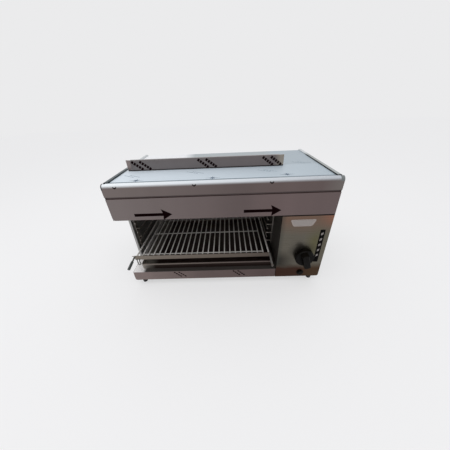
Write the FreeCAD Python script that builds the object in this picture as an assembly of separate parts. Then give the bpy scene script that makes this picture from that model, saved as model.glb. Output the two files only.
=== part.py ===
import FreeCAD, Part
import math
import os

# Gas cheese melter: a stainless hood with two downward burners, an open cavity with a wire
# rack and a drip tray, and a control box on the right. Millimetres, X right, Y back, Z up.
# The origin is the middle of the outer box, at the level that the feet stand on.

# Housing
hood_width = 800.0
hood_depth = 432.0
hood_height = 138.0
cavity_height = 257.0
base_height = 47.0
control_width = 185.0
side_setback = 95.0
sheet = 1.2
bend_radius = 1.0
corner_radius = 8.0
cutout_radius = 14.0
bottom_flange = 24.0
edge_flange = 9.0
seam = 1.0
panel_gap = 2.0
play = 0.3
fit_gap = 0.1
least_edge = 0.002
overrun = 4.0
liner_gap = 30.0
louvre_length = 60.0
louvre_height = 5.0
louvre_pitch = 14.0
louvre_count = 5
louvre_edge = 40.0

# Hood
skirt_height = 45.0
skirt_radius = 11.5
lip_width = 14.0
cover_step = 3.0
fascia_overlap = 6.0
joint_height = 6.5
joint_depth = 4.0
fascia_return = 26.0
fascia_corner_radius = 13.0
ceiling_rise = 9.0
rail_width = 18.0
rail_rise = 2.0
rail_radius = 7.0
shield_drop = 26.0
exhaust_slot_length = 44.0
exhaust_slot_width = 24.0
exhaust_slot_count = 9
exhaust_slot_edge = 34.0

# Flue outlet and its deflector
deflector_left_gap = 28.0
deflector_length = 612.0
deflector_setback = 160.0
deflector_height = 42.0
deflector_tab_run = 17.0
deflector_tab_back = 4.0
deflector_foot = 16.0
deflector_top = 10.0
rivet_shares = (0.1, 0.5, 0.9)
flue_setback = 26.0
flue_end_gap = 36.0
flue_depth = 96.0
flue_rise = 9.0
flue_flange = 9.0
flue_slot_count = 14
flue_slot_width = 22.0

# Burners
burner_edge = 32.9
burner_height = 46.0
burner_wall = 2.0
burner_flange = 9.0
burner_gap = 24.0
burner_setback = 86.0
manifold_gap = 78.8
plaque_height = 13.0
groove_width = 2.0
groove_depth = 1.6
groove_columns = 5
groove_rows = 3
venturi_length = 62.0
venturi_radius = 14.0
venturi_wall = 1.5
venturi_mouth_radius = 20.0
venturi_mouth_length = 16.0
guard_wire_radius = 1.3
guard_wire_count = 9
guard_edge = 7.0
guard_overlap_share = 1.6

# Gas pipes, valve and ignition
pipe_radius = 8.0
pipe_bend_radius = 22.0
air_gap = 6.0
injector_radius = 7.0
injector_length = 20.0
injector_tip_radius = 4.0
injector_tip_length = 9.0
valve_width = 36.0
valve_depth = 40.0
valve_height = 46.0
valve_gap = 16.0
bonnet_radius = 14.0
bonnet_nut_radius = 18.0
bonnet_nut_length = 6.0
valve_bore_radius = 10.0
valve_bore_depth = 30.0
pusher_length = 10.0
pusher_socket_depth = 5.0
push_travel = 3.5
spindle_radius = 4.0
spindle_flat = 1.2
inlet_height = 72.0
inlet_pipe_radius = 7.0
inlet_pipe_bend = 18.0
inlet_thread_radius = 10.5
inlet_reach = 22.0
pipe_sides = 8
inlet_nut_radius = 17.0
inlet_nut_length = 8.0
wire_radius = 1.6
probe_radius = 3.0
probe_length = 38.0

# Controls on the front panel
knob_from_right = 81.0
knob_height = 116.5
knob_radius = 37.0
knob_skirt_height = 18.0
knob_skirt_wall = 3.0
knob_hub_radius = 10.0
knob_recess = 12.0
knob_total_height = 42.0
knob_shoulder_share = 0.75
knob_top_share = 0.93
knob_grip_share = 0.88
knob_grip_width = 24.0
knob_edge_radius = 2.5
knob_gap = 5.0
knob_rest_turn = 16.0
pointer_width = 2.4
pointer_depth = 0.8
button_height = 24.0
button_radius = 10.0
button_proud = 8.0
button_travel = 6.0
button_length = 22.0
button_sides = 24
bezel_radius = 14.0
bezel_height = 3.0
igniter_radius = 12.5
igniter_length = 62.0
spring_wire_radius = 0.7
spring_turns = 4
spring_steps = 10
badge_top_width = 95.0
badge_bottom_width = 70.0
badge_height = 29.0
badge_top_gap = 17.5
badge_from_right = 107.0
badge_corner_radius = 12.0
badge_top_radius = 4.0
plate_thickness = 1.0
strip_width = 18.0
strip_height = 157.0
strip_from_right = 27.0
strip_top_gap = 65.0
window_count = 5
window_pitch = 26.0
window_top_gap = 18.5
window_width = 9.0
window_height = 12.0
window_slant = 5.0

# Rack, its runners and its handles
rack_setback = 35.0
rack_left_gap = 14.0
rack_right_gap = 24.0
rack_level = 56.5
rack_back_gap = 5.0
rack_rod_radius = 2.5
rack_side_radius = 3.5
rack_rod_count = 23
cross_wire_radius = 2.5
cross_wire_seat_share = 0.8
cross_wire_shares = (0.06, 0.5, 0.94)
rod_sides = 8
rack_bar_height = 20.0
rack_bar_thickness = 3.0
rack_bar_rise = 2.0
rack_bar_overhang = 6.0
handle_length = 68.0
handle_inset = 1.0
handle_radius = 3.5
handle_drop = 9.0
grip_radius = 5.5
grip_length = 40.0
grip_wall_end = 2.5
cap_radius = 4.7
cap_length = 10.0
stub_length = 10.0
stub_radius = 1.4
hook_width = 10.0
hook_depth = 27.0
hook_radius = 2.0
runner_levels = 4
runner_pitch = 44.0
runner_back_gap = 2.0
cross_wire_end = 26.0
runner_post_width = 18.0
runner_post_thickness = 2.0
runner_post_inset = 26.0
runner_post_end = 9.0
rung_radius = 2.5

# Drip tray
tray_left_gap = 35.0
tray_right_gap = 7.0
tray_setback = 22.0
tray_back_gap = 12.0
tray_height = 25.0
tray_hem_radius = 2.5

# Feet and fasteners
foot_height = 28.0
foot_sides = 16
foot_top_radius = 14.0
foot_bottom_radius = 9.5
foot_side_gap = 29.0
foot_front_gap = 24.0
foot_back_gap = 40.0
foot_recess_radius = 6.5
foot_recess_depth = 12.0
foot_screw_radius = 3.0
foot_screw_head_radius = 5.4
foot_screw_head_height = 4.0
foot_nut_radius = 5.8
foot_nut_height = 5.0
screw_radius = 2.0
screw_head_radius = 3.8
screw_head_height = 2.2
screw_length = 9.0
screw_edge = 12.0
screw_columns = 5
rivet_radius = 1.6
rivet_head_radius = 3.2
rivet_head_height = 1.0
head_sides = 12

# Places that follow from the sizes
V = FreeCAD.Vector
axis_x = V(1, 0, 0)
axis_y = V(0, 1, 0)
axis_z = V(0, 0, 1)
front_reach = max(handle_length - rack_setback, knob_gap + knob_total_height - sheet)
left = -hood_width / 2
right = hood_width / 2
front = (front_reach - hood_depth - inlet_reach) / 2
back = front + hood_depth
face = front + sheet
side_front = face + sheet
lip_back = front + lip_width
rear_inside = back - sheet
base_bottom = foot_height
pan_bottom = base_bottom + sheet
deck_top = base_bottom + base_height
hood_bottom = deck_top + cavity_height
hood_top = hood_bottom + hood_height
cover_top = hood_top - cover_step
plate_front = lip_back + cover_step
rail_start = plate_front + sheet + seam
skirt_bottom = hood_top - skirt_height
cap_bottom = hood_top - skirt_radius - sheet
ceiling = hood_bottom + ceiling_rise
ceiling_top = ceiling + sheet
wall_left = right - control_width
inside_left = left + sheet
inside_right = right - sheet
liner_front = back - liner_gap
cutout_back = front + side_setback
knob_x = right - knob_from_right
knob_z = base_bottom + knob_height
button_z = base_bottom + button_height
panel_rear = face + sheet
cavity_middle = (inside_left + wall_left) / 2
burner_length = (wall_left - inside_left - burner_gap) / 2 - burner_edge
manifold_y = rear_inside - manifold_gap
venturi_end = manifold_y - pipe_radius - injector_length - air_gap
burner_depth = venturi_end - venturi_length - front - burner_setback


# Helpers

def block(x0, x1, y0, y1, z0, z1):
    return Part.makeBox(x1 - x0, y1 - y0, z1 - z0, V(x0, y0, z0))


def rod(start, end, radius):
    line = end - start
    return Part.makeCylinder(radius, line.Length, start, line)


def union(shapes):
    if len(shapes) == 1:
        return shapes[0]
    return shapes[0].multiFuse(shapes[1:]).removeSplitter()


def rounded_block(x0, x1, y0, y1, z0, z1, radius, axis):
    """Block whose four edges along the axis are rounded."""
    shape = block(x0, x1, y0, y1, z0, z1)
    edges = [e for e in shape.Edges if abs(e.tangentAt(e.FirstParameter).dot(axis)) > 0.9]
    return shape.makeFillet(radius, edges)


def move_outline(points, distance):
    """Open outline moved to its left by the distance, with mitred corners."""
    normals = []
    for (a0, b0), (a1, b1) in zip(points, points[1:]):
        length = math.hypot(a1 - a0, b1 - b0)
        normals.append(((b0 - b1) / length, (a1 - a0) / length))
    moved = []
    for index, (a, b) in enumerate(points):
        before = normals[max(index - 1, 0)]
        after = normals[min(index, len(normals) - 1)]
        scale = distance / (1 + before[0] * after[0] + before[1] * after[1])
        moved.append((a + (before[0] + after[0]) * scale, b + (before[1] + after[1]) * scale))
    return moved


def place(plane, a, b, c):
    if plane == "YZ":
        return V(c, a, b)
    if plane == "XZ":
        return V(a, c, b)
    return V(a, b, c)


def folded(points, side, plane, start, end, radii=bend_radius):
    """Folded sheet along the outline of its outer face, run from start to end across the plane.
    Side 1 lays the thickness to the left of the outline, side -1 to its right."""
    half = sheet / 2
    middle = move_outline(points, side * half)
    if not isinstance(radii, (list, tuple)):
        radii = [radii] * (len(points) - 2)
    edges = []
    for offset, order in ((half, 1), (-half, -1)):
        marks = []
        for index, (a, b) in enumerate(middle):
            ahead = middle[min(index + 1, len(middle) - 1)]
            behind = middle[max(index - 1, 0)]
            run_in = V(a - behind[0], b - behind[1], 0)
            run_out = V(ahead[0] - a, ahead[1] - b, 0)
            spot = V(a, b, 0)
            if index in (0, len(middle) - 1):
                run = run_out if index == 0 else run_in
                run.normalize()
                marks.append(("end", spot + V(-run.y, run.x, 0) * offset))
                continue
            run_in.normalize()
            run_out.normalize()
            turn = math.atan2(run_in.cross(run_out).z, run_in.dot(run_out))
            sign = math.copysign(1, turn)
            radius = radii[index - 1] + half
            tangent = radius * math.tan(abs(turn) / 2)
            first = spot - run_in * tangent
            centre = first + V(-run_in.y, run_in.x, 0) * (sign * radius)
            outward = spot - centre
            outward.normalize()
            reach = radius - sign * offset
            arc_start = first + V(-run_in.y, run_in.x, 0) * offset
            arc_end = spot + run_out * tangent + V(-run_out.y, run_out.x, 0) * offset
            marks.append(("arc", arc_start, centre + outward * reach, arc_end))
        edges.append(marks[::order])
    outline = []
    corner = None
    first_corner = None
    for marks, order in zip(edges, (1, -1)):
        for mark in marks:
            spots = mark[1:][::order]
            spots = [place(plane, s.x, s.y, start) for s in spots]
            if corner is None:
                first_corner = spots[0]
            elif corner.distanceToPoint(spots[0]) > least_edge:
                outline.append(Part.LineSegment(corner, spots[0]).toShape())
            if len(spots) == 3:
                outline.append(Part.Arc(*spots).toShape())
            corner = spots[-1]
    outline.append(Part.LineSegment(corner, first_corner).toShape())
    profile = Part.Face(Part.Wire(outline))
    return profile.extrude(place(plane, 0, 0, end - start))


def route(points, bend):
    """Straight runs through the points, joined by tangent arcs."""
    edges = []
    corner = points[0]
    for before, spot, after in zip(points, points[1:], points[2:]):
        run_in = spot - before
        run_out = after - spot
        run_in.normalize()
        run_out.normalize()
        angle = run_in.getAngle(run_out)
        tangent = bend * math.tan(angle / 2)
        start = spot - run_in * tangent
        end = spot + run_out * tangent
        inward = run_out - run_in
        inward.normalize()
        centre = spot + inward * (bend / math.cos(angle / 2))
        edges.append(Part.LineSegment(corner, start).toShape())
        edges.append(Part.Arc(start, centre - inward * bend, end).toShape())
        corner = end
    edges.append(Part.LineSegment(corner, points[-1]).toShape())
    return Part.Wire(edges)


def pipe(points, bend, radius, sides=0):
    """Bar along a bent route, round or of so many sides."""
    path = route(points, bend)
    start = points[1] - points[0]
    start.normalize()
    if sides:
        outline = ring(points[0], start, radius, sides)
    else:
        outline = Part.Wire([Part.makeCircle(radius, points[0], start)])
    return path.makePipeShell([outline], True, False)


def turned(profile, origin, axis):
    """Solid of revolution. The profile is a list of (distance along the axis, radius)."""
    side = V(axis.y, axis.z, axis.x)
    spots = [origin + axis * along + side * radius for along, radius in profile]
    outline = Part.makePolygon(spots + [spots[0]])
    return Part.Face(outline).revolve(origin, axis, 360)


def ring(origin, axis, radius, sides):
    """Closed outline of so many sides round the axis, at the radius across its flats."""
    side = axis.cross(V(axis.y, axis.z, axis.x))
    side.normalize()
    corner_radius_of_ring = radius / math.cos(math.pi / sides)
    spots = []
    for index in range(sides):
        turn = FreeCAD.Rotation(axis, (index + 0.5) * 360 / sides)
        spots.append(origin + turn.multVec(side) * corner_radius_of_ring)
    return Part.makePolygon(spots + [spots[0]])


def prism(start, end, radius, sides):
    """Bar of so many sides from one point to another."""
    line = end - start
    axis = V(line)
    axis.normalize()
    return Part.Face(ring(start, axis, radius, sides)).extrude(line)


def tapered(profile, origin, axis, sides):
    """Bar of so many sides through the profile, a list of (distance along the axis, radius)."""
    outlines = [ring(origin + axis * along, axis, radius, sides) for along, radius in profile]
    return Part.makeLoft(outlines, True, True)


def coil(origin, axis, radius, length):
    """Compression spring of square wire along the axis, one unbroken winding."""
    half = spring_wire_radius
    count = spring_turns * spring_steps
    frame = FreeCAD.Rotation(axis_z, axis)
    rings = []
    for index in range(count + 1):
        angle = 2 * math.pi * index / spring_steps
        height = length * index / count
        corners = []
        for out, up in ((-half, -half), (half, -half), (half, half), (-half, half)):
            spot = V((radius + out) * math.cos(angle), (radius + out) * math.sin(angle), height + up)
            corners.append(origin + frame.multVec(spot))
        rings.append(corners)
    faces = [Part.Face(Part.makePolygon(rings[0] + rings[0][:1])),
             Part.Face(Part.makePolygon(rings[-1] + rings[-1][:1]))]
    for low, high in zip(rings, rings[1:]):
        for index in range(4):
            after = (index + 1) % 4
            for spots in ((low[index], low[after], high[after]), (low[index], high[after], high[index])):
                faces.append(Part.Face(Part.makePolygon(list(spots) + [spots[0]])))
    spring = Part.makeSolid(Part.makeShell(faces))
    if spring.Volume < 0:
        spring.reverse()
    return spring


os.makedirs("parts", exist_ok=True)


def save(shape, name):
    if not shape.isValid():
        print("not valid:", name)
    shape.exportStep("parts/" + name + ".step")


# Side panels: each is one sheet with an underfold at the bottom and a raised rail at the top,
# which ends behind the hood's rounded front. The left one is cut back beside the cavity, and its
# cut edge is folded inwards.

rail_top = hood_top + rail_rise


def side_panel(edge, inward):
    bottom_end = edge + inward * bottom_flange
    rail_end = edge + inward * rail_width
    path = [(bottom_end, base_bottom), (edge, base_bottom), (edge, rail_top),
            (rail_end, rail_top), (rail_end, cover_top)]
    radii = [corner_radius, rail_radius, bend_radius]
    panel = folded(path, -inward, "XZ", side_front, rear_inside, radii)
    x0, x1 = sorted((edge - inward * overrun, rail_end + inward * overrun))
    return panel.cut(block(x0, x1, front - overrun, rail_start, cap_bottom - seam,
                           rail_top + overrun))


left_panel = side_panel(left, 1)
cutout = rounded_block(left - overrun, left + rail_width, front - cutout_radius, cutout_back,
                       deck_top, hood_bottom, cutout_radius, axis_x)
left_panel = left_panel.cut(cutout)
left_hem = block(left, left + edge_flange, cutout_back, cutout_back + sheet,
                 deck_top + cutout_radius, hood_bottom - cutout_radius)
save(union([left_panel, left_hem]), "left_side_panel")

right_panel = side_panel(right, -1)
for index in range(louvre_count):
    z = hood_bottom - louvre_edge - index * louvre_pitch
    right_panel = right_panel.cut(block(
        right - rail_width, right + overrun, back - louvre_edge - louvre_length,
        back - louvre_edge, z, z + louvre_height))
save(right_panel, "right_side_panel")


# Places of the screws that hold the back panel to the pan and to the cover's rear fold

screw_left = left + rail_width + screw_edge
screw_right = right - rail_width - screw_edge
back_screw_places = []
for index in range(screw_columns):
    x = screw_left + (screw_right - screw_left) * index / (screw_columns - 1)
    for z in (base_bottom + screw_edge + corner_radius, cover_top - screw_edge):
        back_screw_places.append(V(x, back, z))


def with_screw_holes(shape):
    for spot in back_screw_places:
        shape = shape.cut(prism(spot - axis_y * screw_length, spot + axis_y * overrun,
                                screw_radius + fit_gap, 6))
    return shape


# Base: a folded pan behind the base front, with the deck sheet on top.

pan_top = deck_top - sheet
pan_left = inside_left
pan_right = inside_right
foot_places = []
for x in (left + foot_side_gap, right - foot_side_gap):
    for y in (front + foot_front_gap, back - foot_back_gap):
        foot_places.append(V(x, y, 0))

pan_wall = [(pan_left, pan_top), (pan_left, pan_bottom), (pan_right, pan_bottom),
            (pan_right, pan_top)]
pan = folded(pan_wall, 1, "XZ", side_front + sheet, rear_inside - sheet, corner_radius)
pan_rear = block(pan_left + corner_radius + sheet, pan_right - corner_radius - sheet,
                 rear_inside - sheet, rear_inside, pan_bottom, pan_top)
pan = union([pan, pan_rear])
for spot in foot_places:
    pan = pan.cut(prism(spot + axis_z * base_bottom, spot + axis_z * deck_top,
                        foot_screw_radius + fit_gap, 6))
save(with_screw_holes(pan), "base_pan")

front_path = [(side_front + edge_flange / 2, base_bottom), (face, base_bottom), (face, pan_top)]
base_front = union([
    folded(front_path, -1, "YZ", left + bottom_flange + seam, wall_left - panel_gap),
    block(left, left + bottom_flange + seam, face, side_front, base_bottom, pan_top),
])
front_corner = rounded_block(left, right, front - overrun, back, base_bottom, hood_top,
                             corner_radius, axis_y)
save(base_front.common(front_corner), "base_front")

deck = block(inside_left, wall_left - fit_gap, face, liner_front, pan_top, deck_top)
save(deck, "deck")


# Control box: an inner wall beside the cavity and the front panel with its controls.

wall_bottom = pan_bottom + sheet
control_wall = union([
    block(wall_left, wall_left + sheet, side_front, rear_inside - sheet, wall_bottom, hood_bottom),
    block(wall_left, wall_left + sheet, face + fascia_return + seam, rear_inside - sheet,
          hood_bottom, ceiling),
    block(wall_left, wall_left + edge_flange, side_front, side_front + sheet, wall_bottom,
          hood_bottom),
])
save(control_wall, "control_box_wall")

panel_top = hood_bottom - seam
control_panel = block(wall_left, right, face, side_front, base_bottom, panel_top)
control_panel = control_panel.common(front_corner)
bonnet_hole = prism(V(knob_x, front, knob_z), V(knob_x, panel_rear + overrun, knob_z),
                    bonnet_radius + fit_gap, head_sides)
igniter_hole = prism(V(knob_x, front, button_z), V(knob_x, panel_rear + overrun, button_z),
                     igniter_radius + fit_gap, head_sides)
control_panel = control_panel.cut(bonnet_hole).cut(igniter_hole)
save(control_panel, "control_panel")

badge_top = hood_bottom - badge_top_gap
badge_x = right - badge_from_right
badge_spots = [
    V(badge_x - badge_top_width / 2, face, badge_top),
    V(badge_x + badge_top_width / 2, face, badge_top),
    V(badge_x + badge_bottom_width / 2, face, badge_top - badge_height),
    V(badge_x - badge_bottom_width / 2, face, badge_top - badge_height),
]
badge = Part.Face(Part.makePolygon(badge_spots + [badge_spots[0]]))
badge = badge.extrude(-axis_y * plate_thickness)
badge_middle = badge_top - badge_height / 2
for radius, upper in ((badge_corner_radius, False), (badge_top_radius, True)):
    edges = [e for e in badge.Edges if abs(e.tangentAt(e.FirstParameter).y) > 0.9]
    edges = [e for e in edges if (e.CenterOfMass.z > badge_middle) == upper]
    badge = badge.makeFillet(radius, edges)
save(badge, "badge_plate")

strip_x = right - strip_from_right
strip_top = hood_bottom - strip_top_gap
strip = rounded_block(strip_x - strip_width / 2, strip_x + strip_width / 2,
                      face - plate_thickness, face, strip_top - strip_height, strip_top,
                      strip_width / 8, axis_y)
window_first = strip_top - window_top_gap
for index in range(window_count):
    z = window_first - index * window_pitch
    a = window_width / 2
    b = window_height / 2
    c = window_slant / 2
    spots = [V(strip_x - a, face, z - b - c), V(strip_x + a, face, z - b + c),
             V(strip_x + a, face, z + b + c), V(strip_x - a, face, z + b - c)]
    window = Part.Face(Part.makePolygon(spots + [spots[0]]))
    strip = strip.cut(window.extrude(-axis_y * plate_thickness * 2))
save(strip, "window_strip")


# Rear: the outer back panel and the inner liner of the cavity.

inlet_z = base_bottom + inlet_height
back_panel = block(left, right, rear_inside, back, base_bottom, cover_top - sheet)
back_panel = back_panel.common(front_corner)
back_panel = back_panel.cut(prism(V(knob_x, rear_inside - overrun, inlet_z),
                                  V(knob_x, back + overrun, inlet_z),
                                  inlet_thread_radius + fit_gap, head_sides))
for index in range(louvre_count):
    z = hood_bottom - louvre_edge - index * louvre_pitch
    back_panel = back_panel.cut(block(
        knob_x - louvre_length / 2, knob_x + louvre_length / 2, rear_inside - overrun,
        back + overrun, z, z + louvre_height))
save(with_screw_holes(back_panel), "back_panel")

liner_path = [(rear_inside - sheet, deck_top), (liner_front, deck_top), (liner_front, ceiling),
              (rear_inside - sheet, ceiling)]
liner = folded(liner_path, -1, "YZ", inside_left, wall_left - fit_gap)
save(liner, "cavity_back_liner")


# Hood: the top cover with its rounded front and skirt, the lower fascia, which is joggled back
# behind the skirt, the burner ceiling and a heat shield.

cover_path = [(front, skirt_bottom), (front, hood_top), (lip_back, hood_top),
              (plate_front, cover_top), (rear_inside, cover_top),
              (rear_inside, cover_top - screw_edge * 2)]
cover_radii = [skirt_radius, bend_radius, bend_radius, bend_radius]
end_path = cover_path[:4] + [(rail_start, cover_top)]
end_radii = cover_radii[:3]
rail_inner_left = left + rail_width
rail_inner_right = right - rail_width
front_roll = rounded_block(left, right, front, back, base_bottom, hood_top, skirt_radius + sheet,
                           axis_x)


def end_cap(x):
    """Flat end of the rounded front, one sheet thick, in line with the side panel below it."""
    spots = [V(x, front, skirt_bottom), V(x, front, hood_top), V(x, lip_back, hood_top),
             V(x, plate_front, cover_top), V(x, plate_front, cap_bottom), V(x, face, cap_bottom),
             V(x, face, skirt_bottom)]
    cap = Part.Face(Part.makePolygon(spots + [spots[0]])).extrude(axis_x * sheet)
    return cap.common(front_roll)


cover = union([
    folded(cover_path, -1, "YZ", rail_inner_left, rail_inner_right, cover_radii),
    folded(end_path, -1, "YZ", inside_left, rail_inner_left, end_radii),
    folded(end_path, -1, "YZ", rail_inner_right, inside_right, end_radii),
    end_cap(left),
    end_cap(inside_right),
    block(inside_left + seam, rail_inner_left, rail_start, rear_inside,
          cover_top - sheet, cover_top),
    block(rail_inner_right, inside_right - seam, rail_start, rear_inside,
          cover_top - sheet, cover_top),
])
deflector_left = left + deflector_left_gap
deflector_right = deflector_left + deflector_length
deflector_y = front + deflector_setback
flue_left = deflector_left + flue_end_gap
flue_right = deflector_right - flue_end_gap
flue_front = deflector_y + flue_setback
flue_back = flue_front + flue_depth
flue_hole = block(flue_left, flue_right, flue_front, flue_back, hood_bottom, hood_top + overrun)
cover = cover.cut(flue_hole)
save(with_screw_holes(cover), "top_cover")

fascia_top = skirt_bottom + fascia_overlap
joint_bottom = skirt_bottom - joint_height
joint_edge = joint_bottom - joint_depth / 2
fascia_path = [(face + joint_depth, fascia_top), (face + joint_depth, joint_bottom),
               (face, joint_edge), (face, hood_bottom), (face + fascia_return, hood_bottom),
               (face + fascia_return, ceiling)]
fascia = union([
    folded(fascia_path, 1, "YZ", inside_left + fit_gap, inside_right - fit_gap),
    block(left, inside_left + fit_gap, face, side_front, hood_bottom, joint_edge),
    block(inside_right - fit_gap, right, face, side_front, hood_bottom, joint_edge),
])
fascia_corner = rounded_block(left, right + fascia_corner_radius, front, back, hood_bottom,
                              hood_top + fascia_corner_radius, fascia_corner_radius, axis_y)
save(fascia.common(fascia_corner), "hood_fascia")

burner_centres = []
for side in (-1, 1):
    x = cavity_middle + side * (burner_length + burner_gap) / 2
    burner_centres.append(V(x, front + burner_setback + burner_depth / 2, ceiling))
burner_names = ("left", "right")
ceiling_front = face + fascia_return - sheet
ceiling_right = wall_left + sheet
ceiling_path = [(inside_left, ceiling + edge_flange), (inside_left, ceiling),
                (ceiling_right, ceiling)]
burner_ceiling = folded(ceiling_path, 1, "XZ", ceiling_front, rear_inside - sheet)
exhaust_front = liner_front - exhaust_slot_edge - exhaust_slot_width
exhaust_pitch = (wall_left - inside_left) / (exhaust_slot_count + 1)
for index in range(exhaust_slot_count):
    x = inside_left + exhaust_pitch * (index + 1)
    burner_ceiling = burner_ceiling.cut(block(
        x - exhaust_slot_length / 2, x + exhaust_slot_length / 2, exhaust_front,
        exhaust_front + exhaust_slot_width, ceiling - overrun, ceiling_top + overrun))
for centre in burner_centres:
    burner_ceiling = burner_ceiling.cut(block(
        centre.x - burner_length / 2, centre.x + burner_length / 2,
        centre.y - burner_depth / 2, centre.y + burner_depth / 2,
        ceiling - overrun, ceiling_top + overrun))
save(burner_ceiling, "burner_ceiling")

shield_z = cover_top - shield_drop
shield_front = side_front + play
shield_path = [(shield_front, shield_z - edge_flange), (shield_front, shield_z),
               (flue_front - flue_flange, shield_z), (flue_front - flue_flange, cover_top - sheet)]
shield = folded(shield_path, -1, "YZ", inside_left + play, inside_right - play)
save(shield, "heat_shield")


# Flue outlet: a collar round the opening in the cover and a slotted grille on it, with the
# deflector strip riveted in front.

collar = block(flue_left - sheet, flue_right + sheet, flue_front - sheet, flue_back + sheet,
               cover_top, cover_top + flue_rise)
collar_foot = block(flue_left - flue_flange, flue_right + flue_flange, flue_front - flue_flange,
                    flue_back + flue_flange, cover_top, cover_top + sheet)
collar = union([collar, collar_foot]).cut(flue_hole)
save(collar, "flue_collar")

grille_bottom = cover_top + flue_rise
grille = block(flue_left - sheet, flue_right + sheet, flue_front - sheet, flue_back + sheet,
               grille_bottom, grille_bottom + sheet)
flue_pitch = (flue_right - flue_left) / flue_slot_count
for index in range(flue_slot_count):
    x = flue_left + flue_pitch * (index + 0.5)
    grille = grille.cut(block(x - flue_slot_width / 2, x + flue_slot_width / 2,
                              flue_front + flue_flange, flue_back - flue_flange,
                              grille_bottom - overrun, grille_bottom + overrun))
save(grille, "flue_grille")

deflector_top_z = cover_top + deflector_height
main_left = deflector_left + deflector_tab_run
main_right = deflector_right - deflector_tab_run
strip_plan = [(deflector_left, deflector_y + deflector_tab_back), (main_left, deflector_y),
              (main_right, deflector_y), (deflector_right, deflector_y + deflector_tab_back)]
deflector_wall = folded(strip_plan, 1, "XY", cover_top, deflector_top_z)
foot_end = deflector_y + deflector_foot
fold_path = [(foot_end, cover_top), (deflector_y, cover_top), (deflector_y, deflector_top_z),
             (deflector_y + deflector_top, deflector_top_z)]
deflector = union([
    deflector_wall,
    folded(fold_path, -1, "YZ", main_left + bend_radius, main_right - bend_radius),
])
rivet_places = []
for share in rivet_shares:
    x = deflector_left + deflector_length * share
    rivet_places.append(V(x, deflector_y + (sheet + deflector_foot) / 2, cover_top))
for spot in rivet_places:
    deflector = deflector.cut(prism(spot, spot + axis_z * (sheet + overrun),
                                    rivet_radius + fit_gap, 6))
save(deflector, "deflector")

rivets = []
for spot in rivet_places:
    rivets.append(union([
        prism(spot, spot + axis_z * sheet, rivet_radius, 6),
        prism(spot + axis_z * sheet, spot + axis_z * (sheet + rivet_head_height),
              rivet_head_radius, head_sides),
    ]))
save(Part.makeCompound(rivets), "deflector_rivets")


# Burners: each has a plenum box that rests on the ceiling by its flange, a grooved ceramic
# plaque in its mouth, a mixing tube at the rear and a wire guard below.

venturi_z = ceiling_top + burner_height / 2
venturi_start = venturi_end - venturi_length
for centre, name in zip(burner_centres, burner_names):
    x0 = centre.x - burner_length / 2 + fit_gap
    x1 = centre.x + burner_length / 2 - fit_gap
    y0 = centre.y - burner_depth / 2 + fit_gap
    y1 = centre.y + burner_depth / 2 - fit_gap
    flange = block(x0 - burner_flange, x1 + burner_flange, y0 - burner_flange,
                   y1 + burner_flange, ceiling_top, ceiling_top + burner_wall)
    box = rounded_block(x0, x1, y0, y1, ceiling, ceiling_top + burner_height, burner_wall * 2,
                        axis_z)
    inside = block(x0 + burner_wall, x1 - burner_wall, y0 + burner_wall, y1 - burner_wall,
                   ceiling - overrun, ceiling_top + burner_height - burner_wall)
    body = union([box, flange]).cut(inside)
    tube_hole = prism(V(centre.x, y1 - burner_wall * 2, venturi_z),
                      V(centre.x, y1 + overrun, venturi_z), venturi_radius, head_sides)
    save(body.cut(tube_hole), "burner_body_" + name)

    plaque = block(x0 + burner_wall + fit_gap, x1 - burner_wall - fit_gap,
                   y0 + burner_wall + fit_gap, y1 - burner_wall - fit_gap,
                   ceiling, ceiling + plaque_height)
    grooves = []
    for column in range(1, groove_columns):
        x = x0 + (x1 - x0) * column / groove_columns
        grooves.append(block(x - groove_width / 2, x + groove_width / 2, y0, y1,
                             ceiling - overrun, ceiling + groove_depth))
    for row in range(1, groove_rows):
        y = y0 + (y1 - y0) * row / groove_rows
        grooves.append(block(x0, x1, y - groove_width / 2, y + groove_width / 2,
                             ceiling - overrun, ceiling + groove_depth))
    save(plaque.cut(union(grooves)), "burner_plaque_" + name)

    tube_start = V(centre.x, venturi_start - burner_wall, venturi_z)
    mouth_start = venturi_length + burner_wall - venturi_mouth_length
    outer = tapered([(0, venturi_radius), (mouth_start, venturi_radius),
                     (venturi_length + burner_wall, venturi_mouth_radius)],
                    tube_start, axis_y, head_sides)
    inner = tapered([(-overrun, venturi_radius - venturi_wall),
                     (mouth_start, venturi_radius - venturi_wall),
                     (venturi_length + burner_wall, venturi_mouth_radius - venturi_wall)],
                    tube_start, axis_y, head_sides)
    save(outer.cut(inner), "venturi_" + name)

    guard_top = ceiling - guard_wire_radius
    guard_low = guard_top - guard_wire_radius * guard_overlap_share
    gx0 = x0 - guard_edge
    gx1 = x1 + guard_edge
    gy0 = y0 - guard_edge
    gy1 = y1 + guard_edge
    wires = []
    for y in (gy0, (gy0 + gy1) / 2, gy1):
        wires.append(prism(V(gx0 - guard_wire_radius, y, guard_top),
                           V(gx1 + guard_wire_radius, y, guard_top), guard_wire_radius, 4))
    for index in range(guard_wire_count):
        x = gx0 + (gx1 - gx0) * index / (guard_wire_count - 1)
        wires.append(prism(V(x, gy0 - guard_wire_radius, guard_low),
                           V(x, gy1 + guard_wire_radius, guard_low), guard_wire_radius, 4))
    save(union(wires), "burner_guard_" + name)


# Gas line: inlet at the rear, pipe to the valve, and a manifold with one injector per burner.

valve_front = panel_rear + valve_gap
valve_back = valve_front + valve_depth
valve_y = (valve_front + valve_back) / 2
valve_bottom = knob_z - valve_height / 2
valve_top = knob_z + valve_height / 2

manifold_points = [V(knob_x, valve_y, valve_top), V(knob_x, valve_y, venturi_z),
                   V(knob_x, manifold_y, venturi_z),
                   V(burner_centres[0].x - injector_radius * 2, manifold_y, venturi_z)]
save(pipe(manifold_points, pipe_bend_radius, pipe_radius, pipe_sides), "gas_manifold")

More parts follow.
